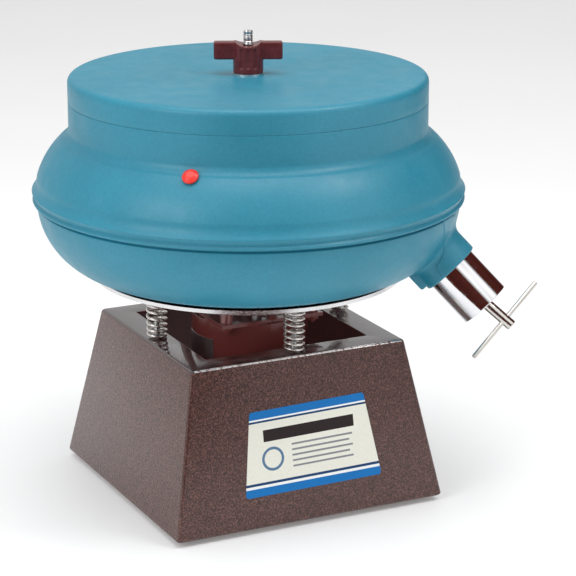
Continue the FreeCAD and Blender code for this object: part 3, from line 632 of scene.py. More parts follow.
ZINC = metal("zinc_plate", (0.70, 0.71, 0.72), 0.28, 700, 0.00004)
WIRE = metal("spring_wire", (0.74, 0.70, 0.66), 0.2, 500, 0.00003)
CHROME = metal("chrome_plate", (0.80, 0.80, 0.82), 0.06, 260, 0.000015, cloud=0.03)
NICKEL = metal("nickel_steel", (0.68, 0.66, 0.62), 0.17, 600, 0.00003)
PAN_STEEL = metal("bright_pressed_steel", (0.74, 0.74, 0.75), 0.26, 300, 0.00003, stretch=(1, 1, 6))
BEARING = metal("bearing_steel", (0.66, 0.67, 0.69), 0.2, 400, 0.00002)
BRASS = metal("turned_brass", (0.76, 0.56, 0.26), 0.24, 500, 0.00003)
CAST = metal("cast_weight", (0.23, 0.23, 0.24), 0.55, 900, 0.00018, cloud=0.3)
LAMINATED = metal("laminated_steel", (0.30, 0.30, 0.31), 0.42, 60, 0.0001, cloud=0.25, stretch=(1, 1, 40))
COPPER = metal("enamelled_copper", (0.62, 0.27, 0.11), 0.3, 300, 0.0003, cloud=0.3)
FOIL = metal("foil_label", (0.74, 0.75, 0.76), 0.32, 500, 0.00002, stretch=(1, 1, 8))


# %% [markdown]
# ## Rubber and small plastics
#
# Feet, seal and cord bush are dull black with a bloom that makes them greyer in places. The red shoulder
# plug is soft vinyl, so light goes a little way into it. The hand knob is a hard thermoset plastic, dark
# maroon, polished by hands.

# %% Finish: rubber, vinyl, knob plastic
def soft_black(name, tone, roughness):
    finish = Finish(name, roughness=roughness)
    bloom = finish.noise(120, detail=4)
    colour = finish.ramp(bloom, (0.35, (tone, tone, tone)), (0.7, (tone * 2.2, tone * 2.2, tone * 2.1)))
    return finish.done(colour, None, finish.bump(finish.noise(1500, detail=2), 0.0001, 0.5))


def red_vinyl():
    finish = Finish("red_vinyl", roughness=0.34, subsurface_weight=0.25, subsurface_scale=0.002)
    drift = finish.noise(300, detail=3)
    colour = finish.ramp(drift, (0.3, (0.70, 0.022, 0.015)), (0.7, (0.86, 0.045, 0.03)))
    return finish.done(colour, None, finish.bump(finish.noise(1200), 0.00008, 0.4))


def knob_plastic():
    finish = Finish("maroon_knob_plastic", coat=0.12, coat_roughness=0.1, specular=0.3)
    drift = finish.noise(150, detail=4)
    colour = finish.ramp(drift, (0.3, (0.105, 0.014, 0.016)), (0.7, (0.142, 0.024, 0.026)))
    sheen = finish.ramp(finish.noise(260, detail=3), (0.3, 0.24), (0.7, 0.36))
    return finish.done(colour, sheen, finish.bump(finish.noise(800), 0.00006, 0.35))


RUBBER = soft_black("black_rubber", 0.016, 0.72)
NYLON = soft_black("black_nylon", 0.022, 0.5)
VINYL = red_vinyl()
KNOB_PLASTIC = knob_plastic()
print(len(bpy.data.materials), "finishes so far")


# %% [markdown]
# ## The bowl's wall
#
# The bowl is one heavy moulding: a ring-shaped trough round a hollow hub, with a bead where belly and
# shoulder meet. It is turned from a single closed outline that runs up the outside, over the rim, down the
# trough, over the hub and back through the hollow below. Softening the outline by a third of a millimetre
# gives the small radii that a mould leaves, and keeps the sharp line under the bead and the thin lip on
# its edge.

# %% Outline of the bowl
BOWL_WALL = 6
BELLY = bowl_radius - 4
GROOVE = BELLY - 1.9
LIP = bowl_radius - 0.5
HUB_TOP = 268
STUD_HOLE = 4.07
neck_inside = neck_radius - BOWL_WALL
BOWL_OUTSIDE = [
    (72, bowl_foot, 216),
    (126.4, 186.3, 60.8),
    (BELLY, 241.4),
    (GROOVE, 242.4),
    (GROOVE, 244),
    (bowl_radius - 1.6, 244.2),
    (LIP, 245.1),
    (LIP, 246.2),
    (bowl_radius - 2.4, 248),
    (bowl_radius, 252.5, -16),
    (170.6, 263, 67),
    (150.7, 293.8, -9.5),
    (neck_radius, 301),
    (neck_radius, seam),
]
BOWL_INSIDE = [
    (neck_inside, seam),
    (neck_inside, 300),
    (145.3, 291, -61),
    (164.6, 262),
    (165, 245, -64.2),
    (98, 185.5),
    (62, 184, -24),
    (43, 203),
    (27, 262, 6.5),
    (21, HUB_TOP),
    (STUD_HOLE, HUB_TOP),
]
BOWL_UNDERSIDE = [(STUD_HOLE, 262), (14, 262), (21, 256), (37, 200), (38, 178), (60, 178), (60, bowl_foot)]
bowl_outline = moulded_outline(BOWL_OUTSIDE + BOWL_INSIDE + BOWL_UNDERSIDE, 0.35)
outside_count = next(index for index, (radius, height) in enumerate(bowl_outline) if height > seam - 0.2)
outside_run = bowl_outline[:outside_count]
print("bowl outline:", len(bowl_outline), "points,", outside_count, "of them outside")


# %% [markdown]
# ## The spout's boss
#
# Where the discharge tube enters, the belly swells into a round boss that flows out of the wall. A plain
# boolean would leave a knife-edged crease there. Instead a round patch of the wall is lifted out and a new
# patch of rings about the spout's axis is sewn in: face, rounded corner, straight wall, then a hollow curve
# that widens where there is room, and last a few rings lying on the old wall.

# %% Sew the boss into the wall
BOWL_STEPS = 240
SPOKES = 96
BOSS_RADIUS = 24.3
BOSS_FACE = -3.2
PATCH_RADIUS = 38
boss_corner = 1.8
spoke_angles = np.linspace(0, 2 * math.pi, SPOKES, endpoint=False)


def bowl_radius_at(height):
    return float(np.interp(height, outside_run[:, 1], outside_run[:, 0], left=0))


def leaves_bowl(radius, angle):
    """How far along the spout's axis a line beside it comes out of the bowl."""
    low, high = -80.0, 5.0
    for _ in range(36):
        middle = (low + high) / 2
        point = spout @ around(radius, angle, middle)
        if math.hypot(point.x, point.y) < bowl_radius_at(point.z):
            low = middle
        else:
            high = middle
    return low


def boss_spoke(angle):
    """One spoke of the patch, from the middle of the face out to the wall, as (radius, distance out)."""
    foot = leaves_bowl(BOSS_RADIUS, angle)
    wall_height = BOSS_FACE - boss_corner - foot
    hollow = min(max(0.55 * wall_height, 1.5), 6)
    spoke = [(16, BOSS_FACE), (BOSS_RADIUS - boss_corner, BOSS_FACE)]
    for share in (0.25, 0.5, 0.75, 1):
        turn = share * math.pi / 2
        radius = BOSS_RADIUS - boss_corner * (1 - math.sin(turn))
        spoke.append((radius, BOSS_FACE - boss_corner * (1 - math.cos(turn))))
    for share in (0.34, 0.67):
        spoke.append((BOSS_RADIUS, BOSS_FACE - boss_corner - share * (wall_height - hollow)))
    end_radius = BOSS_RADIUS + hollow
    start, corner = (BOSS_RADIUS, foot + hollow), (BOSS_RADIUS, foot)
    end = (end_radius, leaves_bowl(end_radius, angle))
    for share in np.linspace(0, 1, 8):
        weights = ((1 - share) ** 2, 2 * share * (1 - share), share ** 2)
        spoke.append(tuple(sum(w * p[k] for w, p in zip(weights, (start, corner, end))) for k in (0, 1)))
    for share in (0.3, 0.65, 1):
        radius = end_radius + share * (PATCH_RADIUS - end_radius)
        spoke.append((radius, leaves_bowl(radius, angle)))
    return spoke


def bowl_with_boss():
    shell = bmesh.new()
    angles = np.linspace(0, 2 * math.pi, BOWL_STEPS, endpoint=False)
    rows = [
        [shell.verts.new(around(radius, angle, height)) for angle in angles]
        for radius, height in bowl_outline
    ]
    to_spout = spout.inverted()
    for index, row in enumerate(rows):
        above = rows[(index + 1) % len(rows)]
        for step in range(BOWL_STEPS):
            corners = (row[step - 1], row[step], above[step], above[step - 1])
            nearest = min((to_spout @ corner.co).xy.length for corner in corners)
            outwards = (to_spout @ row[step].co).z > -70 and row[step].co.x > 0
            if index < outside_count - 1 and outwards and nearest < PATCH_RADIUS + 1.2:
                continue
            shell.faces.new(corners)
    spokes = [boss_spoke(angle) for angle in spoke_angles]
    rings = []
    for ring_index in range(len(spokes[0])):
        ring = []
        for angle, spoke in zip(spoke_angles, spokes):
            radius, out = spoke[ring_index]
            ring.append(shell.verts.new(spout @ around(radius, angle, out)))
        rings.append(ring)
    shell.faces.new(rings[0])
    for inner, outer in zip(rings, rings[1:]):
        for step in range(SPOKES):
            shell.faces.new((inner[step - 1], inner[step], outer[step], outer[step - 1]))
    bmesh.ops.delete(shell, geom=[vert for vert in shell.verts if not vert.link_faces], context="VERTS")
    gap = [edge for edge in shell.edges if len(edge.link_faces) == 1]
    bmesh.ops.triangle_fill(shell, edges=gap, use_beauty=True)
    bmesh.ops.recalc_face_normals(shell, faces=shell.faces)
    open_edges = sum(1 for edge in shell.edges if len(edge.link_faces) != 2)
    print("bowl blank:", len(shell.faces), "faces,", open_edges, "open edges")
    return shell_mesh("bowl_blank", shell, Matrix.Scale(MM, 4))


bowl_blank = bowl_with_boss()


# %% [markdown]
# ## Cutting the bowl
#
# On the real bowl the boss is thickened below into a squared heel, the tube sits in a counterbore, and a
# passage runs on through the wall. A small hole in the shoulder takes the plug for running water through.
# These are true cuts, so booleans suit them. The heel is a block with rounded edges, added first so that
# the counterbore goes through it as well.

# %% Cut and place the bowl
def rounded_block(name, low, high, place, rounding, segments=4):
    block = bmesh.new()
    bmesh.ops.create_cube(block, size=1)
    low, high = Vector(low), Vector(high)
    for vert in block.verts:
        vert.co = (low + high) / 2 + vert.co * (high - low)
    bmesh.ops.bevel(
        block, geom=block.edges, offset=rounding, segments=segments, affect="EDGES", profile=0.5
    )
    return shell_mesh(name, block, Matrix.Scale(MM, 4) @ place)


FLOW_PLUG_SEAT = Vector((-100.78, -112.72, 293.4))
flow_place = leaning_frame(FLOW_PLUG_SEAT, joints["flow_plug_pull"]["axis"])
TUBE_OUTER = 21.3
TUBE_INNER = 19.8
heel = rounded_block("heel", (10.3, -15, -25.8), (26.3, 15, -6.8), spout, 2)
seat_radius = TUBE_OUTER + 0.05
spout_cut = [
    (0, -50),
    (TUBE_INNER, -50),
    (TUBE_INNER, -TUBE_SEAT),
    (seat_radius, -TUBE_SEAT),
    (seat_radius, BOSS_FACE - 0.6),
    (seat_radius + 1, BOSS_FACE + 0.4),
    (0, BOSS_FACE + 0.4),
]
spout_tool = turned_mesh("spout_tool", spout_cut, 96, False, spout)
flow_tool = turned_mesh("flow_tool", [(0, -12), (4.4, -12), (4.4, 8), (0, 8)], 32, False, flow_place)
heeled = combined("bowl_heeled", bowl_blank, "UNION", heel)
bowl_mesh = combined("bowl", heeled, "DIFFERENCE", spout_tool, flow_tool)
shade(bowl_mesh, 32)
bowl_piece = link("bowl_moulding", bowl_mesh, BLUE)


# %% [markdown]
# ## The mould's parting ridge
#
# Two halves of the mould met beside the spout and left a raised line, from the bead down the near side of
# the boss to its face. It is a thread of plastic half a millimetre proud. Its route is a few points, each
# a distance from the spout's axis, an angle round it and a distance out; the curve through them is dropped
# on to the finished wall and a fine round section is swept along it.

# %% Sweep the ridge
RIDGE_ROUTE = [
    (58.4, -132, -41), (49.3, -131.7, -36.5), (40, -129.6, -30), (27.7, -128, -24), (24.7, -120, -19),
    (24.3, -105, -15.8), (24.3, -90, -12.8), (24.3, -84, -7.2), (24.2, -83, -4.4),
]
RIDGE_RADIUS = 0.55


def curve_through(points, steps):
    """A smooth line through points, a few steps between each pair."""
    ends = [2 * points[0] - points[1], *points, 2 * points[-1] - points[-2]]
    line = []
    for a, b, c, d in zip(ends, ends[1:], ends[2:], ends[3:]):
        for share in np.linspace(0, 1, steps, endpoint=False):
            line.append(
                0.5 * (2 * b + (c - a) * share + (2 * a - 5 * b + 4 * c - d) * share**2
                       + (3 * b - a - 3 * c + d) * share**3)
            )
    return [*line, points[-1]]


def ridge_mesh(bowl):
    stops = [spout @ around(radius, math.radians(angle), out) for radius, angle, out in RIDGE_ROUTE]
    bpy.context.view_layer.update()
    line = []
    for point in curve_through(stops, 8):
        _, place, normal, _ = bowl.closest_point_on_mesh(point * MM)
        line.append((place / MM, normal))
    sides = 10
    vertices = []
    for index, (place, normal) in enumerate(line):
        before, after = line[max(index - 1, 0)][0], line[min(index + 1, len(line) - 1)][0]
        across = (after - before).cross(normal).normalized()
        taper = min(1.0, 0.25 + index / 5, 0.25 + (len(line) - 1 - index) / 5)
        for side in range(sides):
            turn = 2 * math.pi * side / sides
            spoke = across * math.cos(turn) + normal * math.sin(turn)
            vertices.append(place + spoke * RIDGE_RADIUS * taper)
    faces = grid_faces(len(line), sides, False)
    last = (len(line) - 1) * sides
    faces += [tuple(range(sides)), tuple(range(last, last + sides))]
    return make_mesh("ridge", vertices, faces)


ridge = ridge_mesh(bowl_piece)
bowl_piece.data = joined_mesh("bowl_and_ridge", bowl_mesh, ridge)
bowl_piece.data.materials.append(BLUE)
shade(bowl_piece.data, 32)
finished(bowl_piece, "carriage", "blue_moulding", "bowl")


# %% [markdown]
# ## The lid
#
# The lid is a shallow cap flush with the neck, so that only a thin dark line shows between them. A lip
# drops inside the neck to centre it, and its top is dished a touch towards the knob. It is turned like the
# bowl, and its outline is softened in the same way, so the two edges of the seam match.

# %% Turn the lid
LID_FLAT_RADIUS = 30
LID_DISH = 0.84
LID_HOLE = 4.47
LID_WALL = 4
LID_BOSS = 6
LID_EDGE = 5
LIP_WALL = 3.5
LIP_DROP = 8
lip_radius = neck_inside - 0.4
LID_OUTLINE = [
    (LID_FLAT_RADIUS, lid_top - LID_DISH),
    (LID_HOLE, lid_top - LID_DISH),
    (LID_HOLE, lid_top - LID_BOSS),
    (20, lid_top - LID_BOSS),
    (24, lid_top - LID_WALL),
    (lip_radius - 5, lid_top - LID_WALL, -3),
    (lip_radius - LIP_WALL, lid_top - 6.5),
    (lip_radius - LIP_WALL, seam - LIP_DROP),
    (lip_radius, seam - LIP_DROP),
    (lip_radius, seam),
    (neck_radius, seam),
    (neck_radius, lid_top - LID_EDGE, LID_EDGE),
    (neck_radius - LID_EDGE, lid_top),
]
lid_outline = moulded_outline(LID_OUTLINE, 0.5)
lid_mesh = turned_mesh("lid", lid_outline, 240, sharp_angle=60)
finished(link("lid_moulding", lid_mesh, BLUE), "lid", "blue_moulding", "lid")


# %% [markdown]
# ## The folded base
#
# The base is sheet steel, four walls leaning in, with a flange folded inwards at the top for the springs
# and another at the bottom for the feet. A folded bend is never sharp, and its round catches the light all
# the way along, so the section is drawn with its bends and then run round a square. Flange top and inside
# take the smooth paint, the outside the hammered one.

# %% Fold the base
SHEET = 1.5
TOP_HALF = 93.8
MOUTH_HALF = 71.4
UNDERSIDE_HALF = 84.1
slant = (base_half - TOP_HALF) / (base_top - base_foot)
wall_lean = math.atan(slant)
inner_shift = SHEET / math.cos(wall_lean)
outer_bend = 2.6
inner_bend = 1.2
base_section = filleted_outline([
    (base_half, base_foot, outer_bend),
    (TOP_HALF, base_top, outer_bend),
    (MOUTH_HALF, base_top, 0.3),
    (MOUTH_HALF, base_top - SHEET, 0.3),
    (TOP_HALF + slant * SHEET - inner_shift, base_top - SHEET, inner_bend),
    (base_half - slant * SHEET - inner_shift, base_foot + SHEET, inner_bend),
    (UNDERSIDE_HALF, base_foot + SHEET, 0.3),
    (UNDERSIDE_HALF, base_foot, 0.3),
])


def corner_radius(half):
    """Small where the sheet's cut edge runs round an opening, and a full bend on the walls."""
    at_opening = half < MOUTH_HALF + 0.5 or abs(half - UNDERSIDE_HALF) < 0.5
    return 1.2 if at_opening else outer_bend


base_mesh = squared_mesh("base", base_section, [corner_radius(half) for half, height in base_section])
PAINTS = (HAMMERED, SMOOTH_PAINT, INSIDE_PAINT_WITH_PAINTED_LIGHT, BEND_PAINTED_HIGHLIGHT)
for face in base_mesh.polygons:
    outwards = face.normal.xy.dot(face.center.xy) > 0
    on_top = face.normal.z > 0.45 and face.center.z > (base_top - outer_bend) * MM
    in_front = face.normal.y < -0.2 and abs(face.normal.x) < 0.1
    # Faces on the front bend get the painted highlight.
    on_painted_bend = on_top and in_front and face.normal.z <= 0.97
    outside = outwards or face.normal.z < -0.8 and face.center.z < (base_foot + 1) * MM
    # Inside faces (slot 2) get the smooth paint painted brighter, as painted fill light.
    face.material_index = 3 if on_painted_bend else 1 if on_top else 0 if outside else 2
finished(link("base_shell", base_mesh, *PAINTS), "base", "hammered_paint", "base_housing")


# %% [markdown]
# ## Coil springs by Geometry Nodes
#
# Each spring is one length of bright wire, wound right-handed, its end turns drawn in a little to grip the
# screw that locates it. A helix is what a node tree does best: a spiral curve, a float curve that packs the
# end turns closer, a scale that narrows them, and a round profile swept along. Turns, radius, wire and
# height are inputs, so all four springs come from one tree.

# %% Node tree helpers
def new_tree(name, **inputs):
    """An empty geometry tree with number inputs, its input node, and its output node."""
    tree = bpy.data.node_groups.new(name, "GeometryNodeTree")
    tree.interface.new_socket("Geometry", in_out="INPUT", socket_type="NodeSocketGeometry")
    for label, value in inputs.items():
        kind = "NodeSocketInt" if isinstance(value, int) else "NodeSocketFloat"
        socket = tree.interface.new_socket(label, in_out="INPUT", socket_type=kind)
        socket.default_value = value
    tree.interface.new_socket("Geometry", in_out="OUTPUT", socket_type="NodeSocketGeometry")
    return tree, tree.nodes.new("NodeGroupInput"), tree.nodes.new("NodeGroupOutput")


def end_tree(tree, geometry, material, result):
    """Realizes a tree's geometry, dresses it and joins it to the output."""
    real = node(tree, "GeometryNodeRealizeInstances", geometry=geometry)
    dressed = node(tree, "GeometryNodeSetMaterial", geometry=real.outputs[0], material=material)
    tree.links.new(dressed.outputs[0], result.inputs[0])
    return tree


def run_tree(name, tree, **inputs):
    """What the tree makes with these inputs, as a plain mesh."""
    holder = bpy.data.objects.new(name, bpy.data.meshes.new(name))
    bpy.context.scene.collection.objects.link(holder)
    modifier = holder.modifiers.new("tree", "NODES")
    modifier.node_group = tree
    for item in tree.interface.items_tree:
        if item.item_type == "SOCKET" and item.in_out == "INPUT" and item.name in inputs:
            modifier[item.identifier] = inputs[item.name]
    return evaluated_copy(holder, name)


# %% Tree for a coil of wire
def coil_tree():
    sizes = {"Turns": 7.2, "Radius": 0.00765, "Wire": 0.0011, "Height": 0.0334, "Narrow": 0.1}
    tree, given, result = new_tree("coil", **sizes)
    take = given.outputs
    radii = {"start_radius": take["Radius"], "end_radius": take["Radius"]}
    spiral = node(tree, "GeometryNodeCurveSpiral", _0=56, _1=take["Turns"], _4=1.0, **radii)
    share = node(tree, "GeometryNodeSplineParameter").outputs["Factor"]
    pitch = node(tree, "ShaderNodeFloatCurve", _0=1.0, _1=share)
    bends = pitch.mapping.curves[0]
    for place, height in ((0.1, 0.08), (0.9, 0.92)):
        bends.points.new(place, height)
    pitch.mapping.update()
    place = node(tree, "GeometryNodeInputPosition").outputs[0]
    parts = node(tree, "ShaderNodeSeparateXYZ", _0=place).outputs
    from_end = sum_node(tree, "PINGPONG", share, 0.5)
    smooth = {"interpolation_type": "SMOOTHSTEP"}
    drawn_in = sum_node(tree, "SUBTRACT", 1.0, take["Narrow"])
    ease = node(tree, "ShaderNodeMapRange", smooth, _0=from_end, _1=0.0, _2=0.12, _3=drawn_in, _4=1.0)
    right = sum_node(tree, "MULTIPLY", parts[0], ease.outputs[0])
    back = sum_node(tree, "MULTIPLY", parts[1], ease.outputs[0])
    rise = sum_node(tree, "MULTIPLY", pitch.outputs[0], take["Height"])
    moved = node(tree, "ShaderNodeCombineXYZ", _0=right, _1=back, _2=rise)
    shaped = node(tree, "GeometryNodeSetPosition", _0=spiral.outputs[0], _2=moved.outputs[0])
    profile = node(tree, "GeometryNodeCurvePrimitiveCircle", _0=16, _4=take["Wire"])
    wire = node(tree, "GeometryNodeCurveToMesh", _0=shaped.outputs[0], _1=profile.outputs[0], fill_caps=True)
    return end_tree(tree, wire.outputs[0], WIRE, result)


# %% Wind the springs
COIL = coil_tree()
WIRE_RADIUS = 1.1
SPRING_CIRCLE = 82.6
spring_low = low_of("spring_right").z
spring_high = high_of("spring_right").z
for label, angle in (("right", 0), ("back", 90), ("left", 180), ("front", 270)):
    coil_height = (spring_high - spring_low - 2 * WIRE_RADIUS) * MM
    coil = run_tree(f"spring_{label}_wire", COIL, Height=coil_height, Narrow=0.09)
    turn = math.radians(angle)
    centre = Matrix.Rotation(turn, 3, "Z") @ Vector((SPRING_CIRCLE, 0, spring_low + WIRE_RADIUS))
    coil.transform(Matrix.Translation(centre * MM) @ Matrix.Rotation(turn + math.radians(200), 4, "Z"))
    shade(coil, 60)
    spring = link(f"spring_{label}_wire", coil)
    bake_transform(spring)
    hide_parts(f"spring_{label}")
    rebuilt.add(f"spring_{label}")
    print(spring.name, len(coil.polygons), "faces")


# %% [markdown]
# ## Threaded rods by Geometry Nodes
#
# The centre stud, the screws that hold the springs and the studs on the pan are all threaded. A thread cut
# by a boolean is slow and fragile. Here the tree stands a core cylinder up and sweeps a small three-cornered
# profile along a spiral round it, which gives the true helix that shows on the stud above the knob.

# %% Tree for a threaded rod
def thread_tree():
    tree, given, result = new_tree("thread", Radius=0.004, Pitch=0.0014, Length=0.05)
    take = given.outputs
    depth = sum_node(tree, "MULTIPLY", take["Pitch"], 0.55)
    core_radius = sum_node(tree, "SUBTRACT", take["Radius"], depth)
    turns = sum_node(tree, "DIVIDE", take["Length"], take["Pitch"])
    radii = {"start_radius": core_radius, "end_radius": core_radius}
    spiral = node(tree, "GeometryNodeCurveSpiral", _0=20, _1=turns, _4=take["Length"], **radii)
    profile = node(tree, "GeometryNodeCurvePrimitiveCircle", _0=4, radius=depth)
    ridge = node(tree, "GeometryNodeCurveToMesh", _0=spiral.outputs[0], _1=profile.outputs[0], fill_caps=True)
    core = node(tree, "GeometryNodeMeshCylinder", _0=32, radius=core_radius, depth=take["Length"])
    half = sum_node(tree, "MULTIPLY", take["Length"], 0.5)
    up = node(tree, "ShaderNodeCombineXYZ", _2=half).outputs[0]
    stood = node(tree, "GeometryNodeTransform", _0=core.outputs[0], translation=up)
    both = node(tree, "GeometryNodeJoinGeometry")
    for part in (ridge, stood):
        tree.links.new(part.outputs[0], both.inputs[0])
    return end_tree(tree, both.outputs[0], ZINC, result)


def ring_tree():
    """Stands copies of one object at equal steps on a circle about Z."""
    tree, given, result = new_tree("ring_of_fasteners", Count=4, Circle=0.05)
    item = tree.interface.new_socket("Fastener", in_out="INPUT", socket_type="NodeSocketObject")
    take = given.outputs
    circle = node(tree, "GeometryNodeMeshCircle", vertices=take["Count"], radius=take["Circle"])
    source = node(tree, "GeometryNodeObjectInfo", object=take[item.name]).outputs["Geometry"]
    spread = node(tree, "GeometryNodeInstanceOnPoints", _0=circle.outputs[0], instance=source)
    return end_tree(tree, spread.outputs[0], ZINC, result)


THREAD = thread_tree()
RING = ring_tree()


def ring_of(name, mesh, count, circle):
    """Copies of a mesh round a circle of that radius in millimetres."""
    fastener = link(f"{name}_single", mesh)
    whole = run_tree(name, RING, Count=count, Circle=circle * MM, Fastener=fastener)
    bpy.data.objects.remove(fastener)
    return whole


def threaded_rod(name, radius, pitch, low, high):
    rod = run_tree(name, THREAD, Radius=radius * MM, Pitch=pitch * MM, Length=(high - low) * MM)
    rod.transform(Matrix.Translation((0, 0, low * MM)))
    return rod


# %% [markdown]
# ## Nuts, studs and screws
#
# A hexagon nut is turned before it is milled, so its corners carry a chamfer and each flat ends in a shallow
# arc. Taking the smaller of a hexagon's radius and a cone's radius at every angle gives exactly that curve.
# The rods run through the nuts, as they do on the machine.

# %% Nut and head shapes
def hexagon_mesh(name, flats, bore, low, high, chamfered=(True, True)):
    """A hexagon nut, its size across the flats in millimetres, chamfered below, above or both."""
    steps = 72
    angles = np.linspace(0, 2 * math.pi, steps, endpoint=False)
    hexagon = flats / 2 / np.cos((angles + math.pi / 6) % (math.pi / 3) - math.pi / 6)

    def row(radius, height):
        return np.column_stack((np.cos(angles) * radius, np.sin(angles) * radius, np.full(steps, height)))

    chamfer = np.linspace(0, flats / 2 * 0.155, 5) / math.sqrt(3)
    outer = [(high - depth, depth if chamfered[1] else 1) for depth in chamfer]
    outer += [(low + depth, depth if chamfered[0] else 1) for depth in chamfer[::-1]]
    vertices = [row(bore, low), row(bore, high)]
    for height, depth in outer:
        vertices.append(row(np.minimum(hexagon, flats / 2 * 0.985 + depth * math.sqrt(3)), height))
    return make_mesh(name, np.concatenate(vertices), grid_faces(len(vertices), steps, True), None, 30)


def head_mesh(name, radius, low, high, edge=0.4):
    outline = filleted_outline([(0.3, low, 0), (radius, low, edge), (radius, high, edge), (0.3, high, 0)])
    return turned_mesh(name, outline, 64, sharp_angle=50)


# %% Centre stud and its nut
STUD_RADIUS = 3.97
STUD_PITCH = 1.411
stud_low = low_of("centre_stud").z
stud_high = high_of("centre_stud").z
stud_flange = head_mesh("stud_flange", 9, stud_low, pan_bottom)
stud_rod = threaded_rod("stud_rod", STUD_RADIUS, STUD_PITCH, stud_low + 1, stud_high)
stud_mesh = joined_mesh("stud", stud_rod, stud_flange)
shade(stud_mesh, 40)
finished(link("threaded_centre_stud", stud_mesh, ZINC), "carriage", "zinc_fasteners", "centre_stud")

nut = hexagon_mesh("bowl_nut", 12.6, STUD_RADIUS + 0.05, low_of("bowl_nut").z, high_of("bowl_nut").z)
finished(link("hub_nut", nut, ZINC), "carriage", "zinc_fasteners", "bowl_nut")

# %% Spring screws, their nuts and the upper studs
SCREW_RADIUS = 2.4
SCREW_PITCH = 0.8
screw_low, screw_high = low_of("lower_spring_screws").z, high_of("lower_spring_screws").z
stud_end, nut_top = low_of("upper_spring_studs").z, high_of("lower_spring_nuts").z
screw_head = hexagon_mesh("screw_head", 9.4, 0.5, screw_low, base_top - SHEET, (True, False))
screw_rod = threaded_rod("screw_rod", SCREW_RADIUS, SCREW_PITCH, screw_low + 1, screw_high)
screw_nut = hexagon_mesh("screw_nut", 9.5, SCREW_RADIUS + 0.05, base_top, nut_top)
upper_flange = head_mesh("upper_flange", 6, pan_bottom - 1.5, pan_bottom, 0.3)
upper_rod = threaded_rod("upper_rod", SCREW_RADIUS, SCREW_PITCH, stud_end, pan_bottom - 0.5)
screw = joined_mesh("screw", screw_rod, screw_head)
upper_stud = joined_mesh("upper_stud", upper_rod, upper_flange)
for name, mesh, sharp, body, cad in (
    ("lower_screws_threaded", screw, 40, "base", "lower_spring_screws"),
    ("lower_nuts_chamfered", screw_nut, 30, "base", "lower_spring_nuts"),
    ("upper_studs_threaded", upper_stud, 40, "carriage", "upper_spring_studs"),
):
    ring = ring_of(name, mesh, 4, SPRING_CIRCLE)
    shade(ring, sharp)
    finished(link(name, ring), body, "zinc_fasteners", cad)


# %% [markdown]
# ## The hand knob
#
# The knob is a plastic moulding: a round hub with flutes, two flat wings, and a saddle between the wings
# so that the stud's end shows in a dip. Every edge is generous and every inside corner filled, which no
# chain of bevels gives cleanly. So the rough shape is made by booleans, remeshed into small even cubes, and
# smoothed, and the mould's radii come out of the smoothing.

# %% Mould the knob
KNOB_TURN = math.radians(-25)
HUB_RADIUS = 12.1
WING_SPAN = 55
WING_HEIGHT = 14.3
WING_THICKNESS = 9
SADDLE_RADIUS = 18.3
SADDLE_DEPTH = 3.1
FLUTE_RADIUS = 1.7
FLUTE_PITCH = 27
knob_place = Matrix.Translation((0, 0, knob_bottom)) @ Matrix.Rotation(KNOB_TURN, 4, "Z")
knob_height = knob_top - knob_bottom


def cylinder_mesh(name, radius, low, high, place, steps=64):
    return turned_mesh(name, [(0, low), (radius, low), (radius, high), (0, high)], steps, False, place)


def knob_mesh():
    hub = cylinder_mesh("hub", HUB_RADIUS, 0, knob_height, knob_place)
    wing_low = (-WING_SPAN / 2, -WING_THICKNESS / 2, knob_height - WING_HEIGHT)
    wing_high = (WING_SPAN / 2, WING_THICKNESS / 2, knob_height)
    wings = rounded_block("wings", wing_low, wing_high, knob_place, 1.6)
    lie_along = Matrix.Rotation(math.pi / 2, 4, "X")
    above = Matrix.Translation((0, 0, knob_height - SADDLE_DEPTH + SADDLE_RADIUS))
    saddle_axis = knob_place @ above @ lie_along
    saddle = cylinder_mesh("saddle", SADDLE_RADIUS, -16, 16, saddle_axis, 96)
    bore = cylinder_mesh("bore", STUD_RADIUS + 0.5, -1, knob_height + 1, knob_place, 48)
    socket = cylinder_mesh("socket", 6, -1, 19, knob_place, 48)
    flutes = []
    for side in (-1, 1):
        for step in (-1, 0, 1):
            turn = Matrix.Rotation(math.radians(90 * side + FLUTE_PITCH * step), 4, "Z")
            place = knob_place @ turn @ Matrix.Translation((HUB_RADIUS + 0.7, 0, 0))
            flutes.append(cylinder_mesh("flute", FLUTE_RADIUS, 4.6, knob_height - 5, place, 32))
    blank = combined("knob_blank", hub, "UNION", wings)
    blank = combined("knob_cut", blank, "DIFFERENCE", saddle, bore, socket, *flutes)
    body = link("knob_body", blank)
    remesh = body.modifiers.new("even", "REMESH")
    remesh.mode = "VOXEL"
    remesh.voxel_size = 0.36 * MM
    relax = body.modifiers.new("relax", "SMOOTH")
    relax.factor = 0.5
    relax.iterations = 9
    mesh = evaluated_copy(body, "knob")
    shade(mesh, 70)
    return mesh


knob = knob_mesh()
finished(link("winged_knob", knob, KNOB_PLASTIC), "knob", "maroon_plastic", "wing_knob")


# %% [markdown]
# ## The discharge tube, its plug and the cross handle
#
# The tube is bright plated brass whose mouth has been dressed round. The expanding plug in it closes with a
# screw: its hub stands out of the cap and carries a loose cross bar. Hub and bar are turned steel with
# small chamfers that flash in the light. The plug's own frame leans a few degrees, as a plug does when
# it is drawn tight.

# %% Tube, hub and bar
tube_section = filleted_outline([
    (TUBE_INNER, -TUBE_SEAT, 0.3),
    (TUBE_OUTER, -TUBE_SEAT, 0.3),
    (TUBE_OUTER, TUBE_SHOW, 0.7),
    (TUBE_INNER, TUBE_SHOW, 0.7),
])
tube = turned_mesh("tube", tube_section, 128, place=spout, sharp_angle=60)
finished(link("plated_tube", tube, CHROME), "carriage", "chrome_plate", "discharge_tube")

